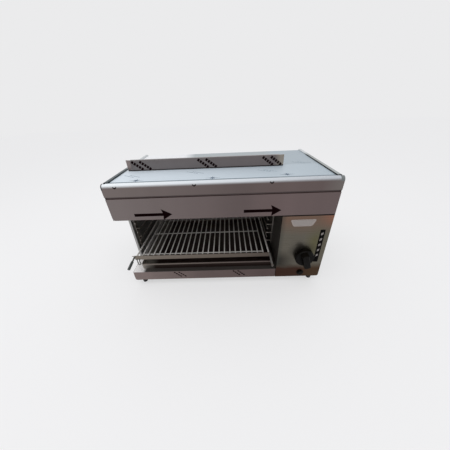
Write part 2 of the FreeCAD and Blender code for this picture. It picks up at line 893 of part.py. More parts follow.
for centre, name in zip(burner_centres, burner_names):
    seat = V(centre.x, manifold_y - pipe_radius, venturi_z)
    shoulder = seat - axis_y * (injector_length - injector_tip_length)
    body = prism(shoulder, seat, injector_radius, 6)
    tip = prism(shoulder, seat - axis_y * injector_length, injector_tip_radius, head_sides)
    save(union([body, tip]), "injector_" + name)

inlet_points = [V(knob_x, rear_inside - inlet_nut_length, inlet_z),
                V(knob_x, valve_y, inlet_z), V(knob_x, valve_y, valve_bottom)]
save(pipe(inlet_points, inlet_pipe_bend, inlet_pipe_radius, pipe_sides), "gas_inlet_pipe")

inlet_axis = V(knob_x, back, inlet_z)
stub = union([
    rod(inlet_axis, inlet_axis + axis_y * inlet_reach, inlet_thread_radius),
    prism(inlet_axis - axis_y * (sheet + inlet_nut_length), inlet_axis, inlet_thread_radius,
          head_sides),
    prism(inlet_axis, inlet_axis + axis_y * inlet_nut_length, inlet_nut_radius, 6),
])
stub = stub.cut(prism(inlet_axis - axis_y * (inlet_nut_length + overrun),
                      inlet_axis + axis_y * (inlet_reach + overrun), inlet_pipe_radius - sheet,
                      head_sides))
save(stub, "gas_inlet")
lock_nut = prism(inlet_axis - axis_y * (sheet + inlet_nut_length), inlet_axis - axis_y * sheet,
                 inlet_nut_radius, 6)
lock_nut = lock_nut.cut(prism(inlet_axis - axis_y * (inlet_nut_length + overrun), inlet_axis,
                              inlet_thread_radius, head_sides))
save(lock_nut, "gas_inlet_locknut")

valve_axis = V(knob_x, valve_front, knob_z)
bonnet_front = V(knob_x, face, knob_z)
valve = union([
    rounded_block(knob_x - valve_width / 2, knob_x + valve_width / 2, valve_front, valve_back,
                  valve_bottom, valve_top, valve_width / 8, axis_y),
    prism(bonnet_front, valve_axis, bonnet_radius, head_sides),
])
valve = valve.cut(prism(bonnet_front - axis_y * overrun,
                        bonnet_front + axis_y * valve_bore_depth, valve_bore_radius, head_sides))
save(valve, "gas_valve")
bonnet_nut = prism(V(knob_x, panel_rear, knob_z), V(knob_x, panel_rear + bonnet_nut_length, knob_z),
                   bonnet_nut_radius, 6)
bonnet_nut = bonnet_nut.cut(prism(bonnet_front, valve_axis, bonnet_radius, head_sides))
save(bonnet_nut, "gas_valve_nut")

pusher_back = face + valve_bore_depth - push_travel - spring_wire_radius * 2 * spring_turns - play
pusher_front = pusher_back - pusher_length
pusher_radius = valve_bore_radius - fit_gap
pusher = prism(V(knob_x, pusher_front, knob_z), V(knob_x, pusher_back, knob_z), pusher_radius,
               head_sides)
socket = rod(V(knob_x, pusher_front - overrun, knob_z),
             V(knob_x, pusher_front + pusher_socket_depth, knob_z), spindle_radius + fit_gap)
save(pusher.cut(socket), "valve_pusher")
spring_length = face + valve_bore_depth - pusher_back - spring_wire_radius * 2 - play
save(coil(V(knob_x, pusher_back + spring_wire_radius, knob_z), axis_y,
          valve_bore_radius - spring_wire_radius * 3, spring_length), "valve_spring")


# Knob on its flatted spindle. The grip bar is turned a little from upright at rest.

knob_back = face - knob_gap
knob_base = V(knob_x, knob_back, knob_z)
outward = -axis_y
spindle_end = pusher_front + pusher_socket_depth - fit_gap
spindle_start = knob_back - knob_total_height / 2
spindle = rod(V(knob_x, spindle_end, knob_z), V(knob_x, spindle_start, knob_z), spindle_radius)
flat = block(knob_x - spindle_radius, knob_x + spindle_radius, spindle_start - overrun,
             face - knob_gap / 2, knob_z + spindle_radius - spindle_flat,
             knob_z + spindle_radius + overrun)
spindle = spindle.cut(flat)
skirt = turned([(0, 0), (0, knob_radius),
                (knob_skirt_height * knob_shoulder_share, knob_radius),
                (knob_skirt_height, knob_radius * knob_top_share), (knob_skirt_height, 0)],
               knob_base, outward)
grip = block(knob_x - knob_grip_width / 2, knob_x + knob_grip_width / 2,
             knob_back - knob_total_height, knob_back - knob_skirt_height / 2,
             knob_z - knob_radius, knob_z + knob_radius)
grip_edges = [e for e in grip.Edges if e.BoundBox.YMax < knob_back - knob_total_height + play
              and abs(e.tangentAt(e.FirstParameter).z) > 0.9]
grip = grip.makeFillet(knob_edge_radius, grip_edges)
grip_end = knob_radius * knob_grip_share
grip_round = turned([(0, 0), (0, knob_radius * knob_top_share),
                     (knob_total_height - knob_edge_radius, grip_end),
                     (knob_total_height, grip_end - knob_edge_radius), (knob_total_height, 0)],
                    knob_base, outward)
knob = union([skirt, grip.common(grip_round)])
recess = turned([(0, knob_hub_radius), (0, knob_radius - knob_skirt_wall),
                 (knob_recess, knob_radius - knob_skirt_wall), (knob_recess, knob_hub_radius)],
                knob_base, outward)
pointer = block(knob_x - pointer_width / 2, knob_x + pointer_width / 2,
                knob_back - knob_total_height - overrun,
                knob_back - knob_total_height + pointer_depth,
                knob_z + knob_radius / 3, knob_z + knob_radius)
knob = knob.cut(recess).cut(pointer).cut(spindle)
knob_turn = FreeCAD.Placement(V(0, 0, 0), FreeCAD.Rotation(axis_y, -knob_rest_turn), knob_base)
knob.Placement = knob_turn
spindle.Placement = knob_turn
save(knob, "knob")
save(spindle, "valve_spindle")


# Igniter: a threaded body behind the panel with a bezel, and the push button in its bore.

igniter_front = face - bezel_height
bore_end = face - button_proud + button_length + button_travel + play
igniter = union([
    prism(V(knob_x, igniter_front, button_z), V(knob_x, face, button_z), bezel_radius,
          button_sides),
    prism(V(knob_x, face, button_z), V(knob_x, face + igniter_length, button_z),
          igniter_radius, head_sides),
])
igniter = igniter.cut(prism(V(knob_x, igniter_front - overrun, button_z),
                            V(knob_x, bore_end + spring_wire_radius * 2 * spring_turns, button_z),
                            button_radius + fit_gap, button_sides))
save(igniter, "igniter_body")
igniter_nut = prism(V(knob_x, panel_rear, button_z),
                    V(knob_x, panel_rear + bonnet_nut_length, button_z), bonnet_nut_radius, 6)
igniter_nut = igniter_nut.cut(prism(V(knob_x, face, button_z),
                                    V(knob_x, face + igniter_length, button_z),
                                    igniter_radius, head_sides))
save(igniter_nut, "igniter_nut")
button_front = face - button_proud
button_back = button_front + button_length
button_rim = knob_edge_radius / 2
button = tapered([(0, button_radius), (button_length - button_rim, button_radius),
                  (button_length, button_radius - button_rim)],
                 V(knob_x, button_back, button_z), -axis_y, button_sides)
save(button, "igniter_button")
button_spring_length = bore_end + spring_wire_radius * 2 * spring_turns - button_back
button_spring_length = button_spring_length - spring_wire_radius * 2 - play
save(coil(V(knob_x, button_back + spring_wire_radius, button_z), axis_y,
          button_radius - spring_wire_radius * 3, button_spring_length), "igniter_spring")


# Spark electrode and flame probe beside the right burner, with their lead and capillary.

probe_x = burner_centres[1].x + burner_length / 2 + burner_flange + probe_radius * 2
probe_y = burner_centres[1].y
for name, offset in (("spark_electrode", 0), ("flame_probe", probe_length / 2)):
    spot = V(probe_x, probe_y + offset, ceiling_top)
    probe = union([
        prism(spot, spot + axis_z * probe_length, probe_radius, rod_sides),
        block(spot.x - probe_radius * 2, spot.x + probe_radius * 2, spot.y - probe_radius * 2,
              spot.y + probe_radius * 2, ceiling_top, ceiling_top + burner_wall),
    ])
    save(probe, name)
lead_x = knob_x + valve_width
lead_top = V(probe_x, probe_y, ceiling_top + probe_length)
lead_rise = lead_top + axis_z * probe_length / 2
igniter_end = V(knob_x, face + igniter_length, button_z)
lead_points = [igniter_end, igniter_end + axis_y * probe_length,
               V(lead_x, igniter_end.y + probe_length, button_z),
               V(lead_x, igniter_end.y + probe_length, lead_rise.z),
               V(lead_x, probe_y, lead_rise.z), lead_rise, lead_top]
save(pipe(lead_points, wire_radius * 5, wire_radius, 4), "ignition_lead")
capillary_x = knob_x - valve_width
capillary_start = V(knob_x, valve_back, knob_z - valve_height / 4)
capillary_y = valve_back + probe_length
capillary_top = V(probe_x, probe_y + probe_length / 2, ceiling_top + probe_length)
capillary_rise = capillary_top + axis_z * probe_length / 3
capillary_points = [capillary_start, V(knob_x, capillary_y, capillary_start.z),
                    V(capillary_x, capillary_y, capillary_start.z),
                    V(capillary_x, capillary_y, capillary_rise.z),
                    V(capillary_x, capillary_top.y, capillary_rise.z),
                    capillary_rise, capillary_top]
save(pipe(capillary_points, wire_radius * 4, wire_radius, 4), "flame_probe_capillary")


# Rack runners: ladders of ledges on the left panel and on the control box wall.

rack_left = left + rack_left_gap
rack_right = wall_left - rack_right_gap
rod_z = deck_top + rack_level
rung_z = rod_z - rack_side_radius - play - rung_radius
runner_front = cutout_back + edge_flange
runner_back = liner_front - runner_back_gap
for name, wall, inward, gap in (("left", inside_left, 1, rack_left_gap - sheet),
                                ("right", wall_left, -1, rack_right_gap)):
    rung_x = wall + inward * (gap + rack_side_radius)
    pieces = []
    post_bottom = rung_z - runner_post_end
    post_top = rung_z + runner_pitch * (runner_levels - 1) + runner_post_end
    post_fronts = (runner_front + runner_post_inset,
                   runner_back - runner_post_inset - runner_post_width)
    for y in post_fronts:
        x0, x1 = sorted((wall, wall + inward * runner_post_thickness))
        pieces.append(block(x0, x1, y, y + runner_post_width, post_bottom, post_top))
    for level in range(runner_levels):
        z = rung_z + runner_pitch * level
        pieces.append(prism(V(rung_x, runner_front, z), V(rung_x, runner_back, z), rung_radius,
                            rod_sides))
        for y in post_fronts:
            y = y + runner_post_width / 2
            pieces.append(prism(V(wall + inward * sheet, y, z), V(rung_x, y, z), rung_radius,
                                rod_sides))
    save(union(pieces), "rack_runner_" + name)


# Rack: a welded grid of rods on cross wires, with a flat bar across its front. The bar has a
# stub and a wire loop at its left end, and carries two handle rods.

rack_front = front + rack_setback
rack_back = liner_front - rack_back_gap
bar_top = rod_z + rack_rod_radius + rack_bar_rise
bar_bottom = bar_top - rack_bar_height
bar_left = rack_left - rack_bar_overhang
side_left = rack_left + rack_side_radius
side_right = rack_right - rack_side_radius
rod_front = rack_front + rack_bar_thickness
grid = []
for x in (side_left, side_right):
    grid.append(prism(V(x, rod_front, rod_z), V(x, rack_back, rod_z), rack_side_radius, rod_sides))
for index in range(rack_rod_count):
    x = side_left + (side_right - side_left) * (index + 1) / (rack_rod_count + 1)
    grid.append(prism(V(x, rod_front, rod_z), V(x, rack_back, rod_z), rack_rod_radius, 6))
cross_z = rod_z - rack_rod_radius - cross_wire_radius * cross_wire_seat_share
cross_left = rack_left + cross_wire_end
cross_right = rack_right - cross_wire_end
for share in cross_wire_shares:
    y = rack_front + (rack_back - rack_front) * share
    grid.append(prism(V(cross_left, y, cross_z), V(cross_right, y, cross_z), cross_wire_radius, 4))
grid.append(prism(V(side_left, rack_back, rod_z), V(side_right, rack_back, rod_z),
                  rack_side_radius, rod_sides))
save(union(grid), "rack_grid")

stub_y = rack_front + rack_bar_thickness / 2
stub_z = bar_top - hook_radius
bar_end = V(bar_left, stub_y, stub_z)
front_bar = union([
    block(bar_left, rack_right, rack_front, rod_front, bar_bottom, bar_top),
    prism(bar_end + axis_x * hook_radius, bar_end - axis_x * stub_length, stub_radius, rod_sides),
])
save(front_bar, "rack_front_bar")

hook_y = rack_front - hook_radius
hook_left = rack_left + hook_radius
hook_points = [V(hook_left, hook_y, bar_bottom + hook_radius * 2),
               V(hook_left, hook_y, bar_bottom - hook_depth),
               V(hook_left + hook_width, hook_y, bar_bottom - hook_depth),
               V(hook_left + hook_width, hook_y, bar_bottom + hook_radius * 2)]
save(pipe(hook_points, hook_width / 2 - play, hook_radius, rod_sides), "rack_hook")

handle_z = bar_top - handle_radius
handle_end_y = rack_front - handle_length
for name, x in (("left", bar_left + handle_inset), ("right", rack_right - handle_inset)):
    start = V(x, rack_front, handle_z)
    end = V(x, handle_end_y + grip_wall_end, handle_z - handle_drop)
    line = end - start
    line.normalize()
    bar = prism(start - line * handle_radius, end, handle_radius, head_sides)
    keep = block(x - grip_radius * 2, x + grip_radius * 2, handle_end_y - overrun, rack_front,
                 bar_bottom - handle_drop * 2, bar_top + handle_drop)
    save(bar.common(keep), "rack_handle_" + name)
    outer = end + line * grip_wall_end
    length = grip_length if name == "left" else cap_length
    radius = grip_radius if name == "left" else cap_radius
    cover_tube = tapered([(0, radius), (length - sheet, radius), (length, radius - sheet)],
                         outer - line * length, line, head_sides)
    cover_tube = cover_tube.cut(prism(start, end, handle_radius, head_sides))
    cover_tube = cover_tube.common(block(x - grip_radius * 2, x + grip_radius * 2, handle_end_y,
                                         rack_front, bar_bottom - handle_drop * 2,
                                         bar_top + handle_drop))
    save(cover_tube, "handle_grip" if name == "left" else "handle_cap")


# Drip tray: a shallow folded pan on the deck with a rolled hem along its front edge.

tray_left = left + tray_left_gap
tray_right = wall_left - tray_right_gap
tray_front = front + tray_setback
tray_back = liner_front - tray_back_gap
tray_bottom = deck_top + play
tray_top = tray_bottom + tray_height
tray_outer = rounded_block(tray_left, tray_right, tray_front, tray_back, tray_bottom, tray_top,
                           corner_radius, axis_z)
tray_inner = rounded_block(tray_left + sheet, tray_right - sheet, tray_front + sheet,
                           tray_back - sheet, tray_bottom + sheet, tray_top + overrun,
                           corner_radius - sheet, axis_z)
hem_y = tray_front + tray_hem_radius
hem_z = tray_top - tray_hem_radius
hem = rod(V(tray_left + corner_radius, hem_y, hem_z), V(tray_right - corner_radius, hem_y, hem_z),
          tray_hem_radius)
save(union([tray_outer.cut(tray_inner), hem]), "drip_tray")


# Feet with a screw and a nut each, and the back panel screws.

feet = []
foot_fasteners = []
for spot in foot_places:
    foot = tapered([(0, foot_bottom_radius), (foot_height, foot_top_radius)], spot, axis_z,
                   foot_sides)
    foot = foot.cut(prism(spot, spot + axis_z * foot_recess_depth, foot_recess_radius, 8))
    foot = foot.cut(prism(spot, spot + axis_z * (foot_height + overrun),
                          foot_screw_radius + fit_gap, 6))
    feet.append(foot)
    head = spot + axis_z * (foot_recess_depth - foot_screw_head_height)
    nut_z = pan_bottom + sheet
    foot_fasteners.append(union([
        prism(head, head + axis_z * foot_screw_head_height, foot_screw_head_radius, 6),
        prism(head, spot + axis_z * (nut_z + foot_nut_height + sheet), foot_screw_radius, 6),
    ]))
    nut = prism(spot + axis_z * nut_z, spot + axis_z * (nut_z + foot_nut_height),
                foot_nut_radius, 6)
    foot_fasteners.append(nut.cut(prism(spot, spot + axis_z * deck_top, foot_screw_radius, 6)))
save(Part.makeCompound(feet), "feet")
save(Part.makeCompound(foot_fasteners), "foot_screws_and_nuts")

screws = []
for spot in back_screw_places:
    screws.append(union([
        prism(spot - axis_y * screw_length, spot, screw_radius, 6),
        prism(spot, spot + axis_y * screw_head_height, screw_head_radius, head_sides),
    ]))
save(Part.makeCompound(screws), "back_screws")
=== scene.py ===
import math

import bmesh
import bpy
from mathutils import Matrix, Vector


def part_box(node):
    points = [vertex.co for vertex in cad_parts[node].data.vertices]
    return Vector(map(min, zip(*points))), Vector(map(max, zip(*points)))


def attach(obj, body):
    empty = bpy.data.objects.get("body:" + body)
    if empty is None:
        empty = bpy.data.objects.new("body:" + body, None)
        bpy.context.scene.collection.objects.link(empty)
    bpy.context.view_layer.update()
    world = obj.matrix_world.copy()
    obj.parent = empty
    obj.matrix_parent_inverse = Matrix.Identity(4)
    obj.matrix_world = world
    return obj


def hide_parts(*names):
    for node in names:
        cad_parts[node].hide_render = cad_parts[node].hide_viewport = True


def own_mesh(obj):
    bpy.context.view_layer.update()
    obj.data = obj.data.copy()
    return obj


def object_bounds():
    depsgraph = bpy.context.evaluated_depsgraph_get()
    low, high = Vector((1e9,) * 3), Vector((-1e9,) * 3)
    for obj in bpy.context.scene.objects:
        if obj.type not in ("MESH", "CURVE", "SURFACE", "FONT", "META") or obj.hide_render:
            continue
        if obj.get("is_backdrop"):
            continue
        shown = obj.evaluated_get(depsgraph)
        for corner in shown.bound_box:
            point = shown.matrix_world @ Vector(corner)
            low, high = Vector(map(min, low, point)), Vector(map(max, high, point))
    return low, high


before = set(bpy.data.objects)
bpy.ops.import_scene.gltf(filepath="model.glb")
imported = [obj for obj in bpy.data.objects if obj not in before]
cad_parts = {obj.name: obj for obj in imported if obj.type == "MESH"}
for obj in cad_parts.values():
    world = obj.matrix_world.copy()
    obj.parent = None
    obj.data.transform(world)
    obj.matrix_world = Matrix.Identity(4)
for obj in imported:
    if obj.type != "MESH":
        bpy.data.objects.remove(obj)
cad_low, cad_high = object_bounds()


# Base pan
# Folded from plain stainless sheet and welded at its corners. It sits inside the side panels
# and carries the feet, and the deck sheet closes it from above.

class Number:
    """A value in a material. Sums, products and comparisons of values add Math nodes."""

    def __init__(self, tree, socket):
        self.tree = tree
        self.socket = socket

    def math(self, operation, *others):
        return calculated(self.tree, operation, self, *others)

    def __add__(self, other):
        return self.math("ADD", other)

    def __sub__(self, other):
        return self.math("SUBTRACT", other)

    def __rsub__(self, other):
        return calculated(self.tree, "SUBTRACT", other, self)

    def __mul__(self, other):
        return self.math("MULTIPLY", other)

    def __truediv__(self, other):
        return self.math("DIVIDE", other)

    def __abs__(self):
        return self.math("ABSOLUTE")

    def __lt__(self, other):
        return self.math("LESS_THAN", other)

    def __gt__(self, other):
        return self.math("GREATER_THAN", other)

    __radd__ = __add__

    def between(self, low, high):
        """1 between the two values and 0 elsewhere."""
        return (self > low) * (self < high)

    def ramp(self, low, high):
        """0 at low and 1 at high, straight in between."""
        slope = (self - low) / (high - low)
        return slope.math("MAXIMUM", 0.0).math("MINIMUM", 1.0)


def calculated(tree, operation, *values):
    """What a Math node makes of values and links."""
    node = tree.nodes.new("ShaderNodeMath")
    node.operation = operation
    for slot, value in enumerate(values):
        put(tree, node.inputs[slot], value)
    return Number(tree, node.outputs[0])


def put(tree, entry, value):
    if isinstance(value, Number):
        tree.links.new(value.socket, entry)
    else:
        entry.default_value = value


def tone(red, green, blue):
    """Colour of a screen value from 0 to 255, as the shader wants it."""
    steps = []
    for step in (red, green, blue):
        share = step / 255
        steps.append(share / 12.92 if share <= 0.04045 else ((share + 0.055) / 1.055) ** 2.4)
    return (*steps, 1.0)


brush_cells = {"x": (9.0, 900.0, 900.0), "y": (900.0, 9.0, 900.0)}
brush_depth = 0.00002


class Finish:
    """A material under construction."""

    def __init__(self, name, settings):
        self.material = bpy.data.materials.new(name)
        self.material.use_nodes = True
        self.tree = self.material.node_tree
        self.surface = self.tree.nodes["Principled BSDF"]
        self.set(settings)

    def set(self, settings):
        for word, value in settings.items():
            put(self.tree, self.surface.inputs[word], value)

    def current(self, word):
        """What already feeds an entry of the surface."""
        return Number(self.tree, self.surface.inputs[word].links[0].from_socket)

    def node(self, kind, settings, inputs, output=0):
        node = self.tree.nodes.new("ShaderNode" + kind)
        for word, value in settings.items():
            setattr(node, word, value)
        for word, value in inputs.items():
            put(self.tree, node.inputs[word], value)
        return Number(self.tree, node.outputs[output])

    def spot(self):
        """Where a point lies on the object, as a vector."""
        return self.node("TexCoord", {}, {}, "Object")

    def axes(self, words):
        """The asked coordinates of a point on the object."""
        spot = self.spot()
        return [self.node("SeparateXYZ", {}, {"Vector": spot}, word) for word in words]

    def noise(self, cells, detail=3.0):
        """Noise with so many cells for each metre: one number, or one for each axis."""
        stretch = cells if isinstance(cells, tuple) else (cells, cells, cells)
        spot = self.node("VectorMath", {"operation": "MULTIPLY"}, {0: self.spot(), 1: stretch})
        settings = {"Vector": spot, "Scale": 1.0, "Detail": detail, "Roughness": 0.55}
        return self.node("TexNoise", {}, settings)

    def brushed(self, along="x"):
        """Fine lines of a brushed sheet."""
        return self.noise(brush_cells[along], 2.0)

    def mix(self, share, first, second):
        """The first colour at 0 and the second at 1."""
        return self.node("Mix", {"data_type": "RGBA"}, {0: share, 6: first, 7: second}, 2)

    def scaled(self, colour, factor):
        """A colour made lighter or darker by a factor."""
        first = colour if isinstance(colour, Number) else colour[:3]
        return self.node("VectorMath", {"operation": "SCALE"}, {0: first, "Scale": factor})

    def bump(self, height, distance=1.0):
        """Relief of the surface. At a distance of 1 the height is in metres."""
        entries = {"Height": height, "Distance": distance, "Strength": 1.0}
        return self.node("Bump", {}, entries, "Normal")


def steel(name, colour, shine=0.9, rough=0.34, grain=0.05, dents=0.0, along="x"):
    """Stainless sheet with its brushed grain along one axis."""
    finish = Finish(name, {"Metallic": shine})
    lines = finish.brushed(along)
    cloud = finish.noise(5.0, 2.0)
    waves = finish.noise(14.0, 1.0)
    finish.set({
        "Base Color": finish.scaled(colour, 1 + (lines - 0.5) * grain * 2 + (cloud - 0.5) * 0.12),
        "Roughness": rough + (lines - 0.5) * 0.16 + (cloud - 0.5) * 0.10,
        "Normal": finish.bump(lines * brush_depth + waves * dents),
    })
    return finish


def dress(finish, *nodes):
    """Gives CAD nodes their finish."""
    for node in nodes:
        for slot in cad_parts[node].material_slots:
            slot.material = finish.material


dress(steel("plain_steel", tone(168, 166, 164)), "base_pan")


# Feet
# Four turned rubber feet under the pan. Each is held by a zinc-plated screw from below and a
# nut on the pan.

def mottled(name, settings, cells, dark, light, gloss=None, relief=0.0, detail=3.0):
    """Finish whose tone wanders between two. Its gloss and relief may follow the same noise."""
    finish = Finish(name, settings)
    haze = finish.noise(cells, detail)
    finish.set({"Base Color": finish.mix(haze, dark, light)})
    if gloss:
        finish.set({"Roughness": gloss[0] + haze * gloss[1]})
    if relief:
        finish.set({"Normal": finish.bump(haze, relief)})
    return finish


rubber = mottled("foot_rubber", {"Roughness": 0.72, "Specular IOR Level": 0.35}, 900.0,
                 tone(20, 19, 19), tone(44, 42, 41), relief=0.0002)
zinc = mottled("zinc_plate", {"Metallic": 1.0}, 160.0, tone(150, 152, 156),
               tone(196, 196, 192), gloss=(0.28, 0.2))


def mesh_of(shape, name):
    """Mesh of a finished bmesh."""
    mesh = bpy.data.meshes.new(name)
    shape.to_mesh(mesh)
    shape.free()
    return mesh


def closed_mesh(shape, name):
    """Mesh of a closed bmesh, with its faces turned outwards."""
    bmesh.ops.recalc_face_normals(shape, faces=shape.faces)
    return mesh_of(shape, name)


def placed(name, data):
    """New object in the scene."""
    made = bpy.data.objects.new(name, data)
    bpy.context.collection.objects.link(made)
    return made


def lathe(profile, origin, axis, sides):
    """Closed turned mesh. The profile is a list of (distance along the axis, radius)."""
    shape = bmesh.new()
    axis = Vector(axis).normalized()
    side = axis.orthogonal().normalized()
    across = axis.cross(side)
    rings = []
    for along, radius in profile:
        middle = Vector(origin) + axis * along
        if radius == 0:
            rings.append([shape.verts.new(middle)])
            continue
        ring = []
        for index in range(sides):
            angle = 2 * math.pi * index / sides
            out = side * math.cos(angle) + across * math.sin(angle)
            ring.append(shape.verts.new(middle + out * radius))
        rings.append(ring)
    for low, high in zip(rings, rings[1:]):
        for index in range(sides):
            after = (index + 1) % sides
            corners = [low[index % len(low)], low[after % len(low)],
                       high[after % len(high)], high[index % len(high)]]
            kept = list(dict.fromkeys(corners))
            if len(kept) > 2:
                shape.faces.new(kept)
    for ring, turn in ((rings[0], -1), (rings[-1], 1)):
        if len(ring) > 1:
            shape.faces.new(ring[::turn])
    return closed_mesh(shape, "turned")


crease_angle = math.radians(35)


def piece(name, meshes, finish, body, stands_for=()):
    """One named piece from one or more meshes, riding on a body."""
    shape = bmesh.new()
    for mesh in meshes:
        shape.from_mesh(mesh)
    whole = mesh_of(shape, name)
    whole.materials.append(finish.material)
    for polygon in whole.polygons:
        polygon.material_index = 0
        polygon.use_smooth = True
    whole.set_sharp_from_angle(angle=crease_angle)
    made = placed(name, whole)
    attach(made, body)
    if stands_for:
        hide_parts(*stands_for)
    return made


def row_tree():
    """Geometry nodes that set copies of a piece in a row."""
    tree = bpy.data.node_groups.new("row_of_pieces", "GeometryNodeTree")
    for name, kind in (("Piece", "Geometry"), ("Count", "Int"), ("Step", "Vector"),
                       ("Finish", "Material")):
        tree.interface.new_socket(name, in_out="INPUT", socket_type="NodeSocket" + kind)
    tree.interface.new_socket("Row", in_out="OUTPUT", socket_type="NodeSocketGeometry")
    entry = tree.nodes.new("NodeGroupInput")
    line = tree.nodes.new("GeometryNodeMeshLine")
    copies = tree.nodes.new("GeometryNodeInstanceOnPoints")
    solid = tree.nodes.new("GeometryNodeRealizeInstances")
    paint = tree.nodes.new("GeometryNodeSetMaterial")
    leave = tree.nodes.new("NodeGroupOutput")
    for start, end in ((entry.outputs["Count"], line.inputs["Count"]),
                       (entry.outputs["Step"], line.inputs["Offset"]),
                       (line.outputs["Mesh"], copies.inputs["Points"]),
                       (entry.outputs["Piece"], copies.inputs["Instance"]),
                       (copies.outputs["Instances"], solid.inputs["Geometry"]),
                       (solid.outputs["Geometry"], paint.inputs["Geometry"]),
                       (entry.outputs["Finish"], paint.inputs["Material"]),
                       (paint.outputs["Geometry"], leave.inputs["Row"])):
        tree.links.new(start, end)
    return tree


row = row_tree()
row_entries = {item.name: item.identifier for item in row.interface.items_tree}


def in_a_row(mesh, count, step, finish):
    """Mesh of so many copies, each a step further than the last."""
    holder = placed("row_holder", mesh)
    modifier = holder.modifiers.new("row", "NODES")
    modifier.node_group = row
    for word, value in (("Count", count), ("Step", step), ("Finish", finish.material)):
        modifier[row_entries[word]] = value
    graph = bpy.context.evaluated_depsgraph_get()
    result = bpy.data.meshes.new_from_object(holder.evaluated_get(graph))
    bpy.data.objects.remove(holder)
    return result


foot_low, foot_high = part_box("feet")
foot_height = foot_high.z - foot_low.z
foot_top_radius = 0.014
foot_bottom_radius = 0.0095
foot_recess_radius = 0.0065
foot_recess_depth = 0.012
foot_profile = [
    (foot_recess_depth, 0.0), (foot_recess_depth, foot_recess_radius),
    (0.0005, foot_recess_radius), (0.0, foot_recess_radius + 0.0006),
    (0.0, foot_bottom_radius - 0.0012), (0.0004, foot_bottom_radius - 0.0004),
    (0.0014, foot_bottom_radius), (foot_height - 0.006, foot_top_radius - 0.0016),
    (foot_height - 0.0056, foot_top_radius - 0.0004), (foot_height - 0.005, foot_top_radius),
    (foot_height - 0.0008, foot_top_radius), (foot_height - 0.0002, foot_top_radius - 0.0006),
    (foot_height - 0.0002, 0.0),
]
foot_left = foot_low.x + foot_top_radius
foot_front = foot_low.y + foot_top_radius
foot = lathe(foot_profile, (foot_left, foot_front, 0.0), (0, 0, 1), 40)
foot_step_x = (foot_high.x - foot_top_radius - foot_left, 0.0, 0.0)
foot_step_y = (0.0, foot_high.y - foot_top_radius - foot_front, 0.0)
foot_pair = in_a_row(foot, 2, foot_step_x, rubber)
piece("rubber_feet", [in_a_row(foot_pair, 2, foot_step_y, rubber)], rubber, "housing",
      ["feet"])
dress(zinc, "foot_screws_and_nuts")


# Side panels
# Each is one folded stainless sheet with a raised rail along its top, riveted to the pan. The
# left one is cut back beside the cavity.

hood_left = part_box("top_cover")[0].x
hood_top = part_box("top_cover")[1].z
rail_width = 0.0172
rail_drop = 0.004
rail_fade = 0.05


def side_finish(name, rail_colour, inner_shade_colour, fade_start):
    """Mid grey sheet; its rail has a set tone and its inner face a painted shade."""
    finish = steel(name, tone(150, 150, 149), 0.9, 0.36, 0.05, 0.0003, "y")
    x, y, z = finish.axes("XYZ")
    streak = finish.noise((300.0, 5.0, 300.0), 2.0)
    flat = finish.scaled(tone(158, 157, 155), 0.95 + streak * 0.1)
    # Painted shade: the rail's inner face takes the dark inner colour, the rail's top its own
    # tone.
    rail = finish.mix(abs(x) < cad_high.x - rail_width, rail_colour, inner_shade_colour)
    rail = finish.mix(y.ramp(fade_start, fade_start + rail_fade) * 0.8, rail, tone(214, 218, 220))
    rail = finish.scaled(rail, 0.97 + streak * 0.06)
    on_rail = z > hood_top - rail_drop
    finish.set({"Base Color": finish.mix(on_rail, flat, rail), "Metallic": 0.9 - on_rail * 0.5})
    return finish


dress(side_finish("left_side_steel", tone(66, 77, 81), tone(40, 48, 51), -0.03),
      "left_side_panel")
dress(side_finish("right_side_steel", tone(160, 165, 164), tone(16, 18, 18), 0.10),
      "right_side_panel")


# Back panel and its screws
# Plain stainless sheet with pressed louvres behind the control box. Ten zinc-plated
# pan-head screws with a cross recess hold it to the pan and to the cover.

dress(steel("back_steel", tone(160, 160, 159), 0.9, 0.38, 0.06, 0.0004), "back_panel")

back_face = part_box("back_panel")[1].y
screw_low, screw_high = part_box("back_screws")
screw_radius = 0.002
screw_head_radius = 0.0038
screw_head_height = 0.0022
screw_length = 0.009
screw_columns = 5
cross_width = 0.0011
cross_length = 0.0042


def block_mesh(middle, size):
    shape = bmesh.new()
    bmesh.ops.create_cube(shape, size=1.0)
    bmesh.ops.scale(shape, vec=size, verts=shape.verts)
    bmesh.ops.translate(shape, vec=middle, verts=shape.verts)
    return mesh_of(shape, "block")


def pan_head_screw(place):
    """Domed head with a cross recess, on a plain shank that points to the front."""
    dome = lathe([(-screw_length, 0.0), (-screw_length, screw_radius), (0.0, screw_radius),
                  (0.0, screw_head_radius), (screw_head_height * 0.35, screw_head_radius),
                  (screw_head_height * 0.75, screw_head_radius * 0.82),
                  (screw_head_height, screw_head_radius * 0.45), (screw_head_height, 0.0)],
                 place, (0, 1, 0), 20)
    head = placed("screw_head", dome)
    for size in ((cross_length, cross_width), (cross_width, cross_length)):
        cutter = block_mesh(place + Vector((0, screw_head_height, 0)),
                            (size[0], screw_head_height * 1.2, size[1]))
        cut = head.modifiers.new("cross", "BOOLEAN")
        cut.operation = "DIFFERENCE"
        cut.object = placed("driver", cutter)
    graph = bpy.context.evaluated_depsgraph_get()
    result = bpy.data.meshes.new_from_object(head.evaluated_get(graph))
    for modifier in list(head.modifiers):
        bpy.data.objects.remove(modifier.object)
    bpy.data.objects.remove(head)
    return result


first_screw = Vector((screw_low.x + screw_head_radius, back_face,
                      screw_low.z + screw_head_radius))
screw_step_x = ((screw_high.x - screw_low.x - screw_head_radius * 2) / (screw_columns - 1), 0, 0)
screw_step_z = (0, 0, screw_high.z - screw_low.z - screw_head_radius * 2)
screw_row = in_a_row(pan_head_screw(first_screw), screw_columns, screw_step_x, zinc)
piece("back_panel_screws", [in_a_row(screw_row, 2, screw_step_z, zinc)], zinc, "housing",
      ["back_screws"])
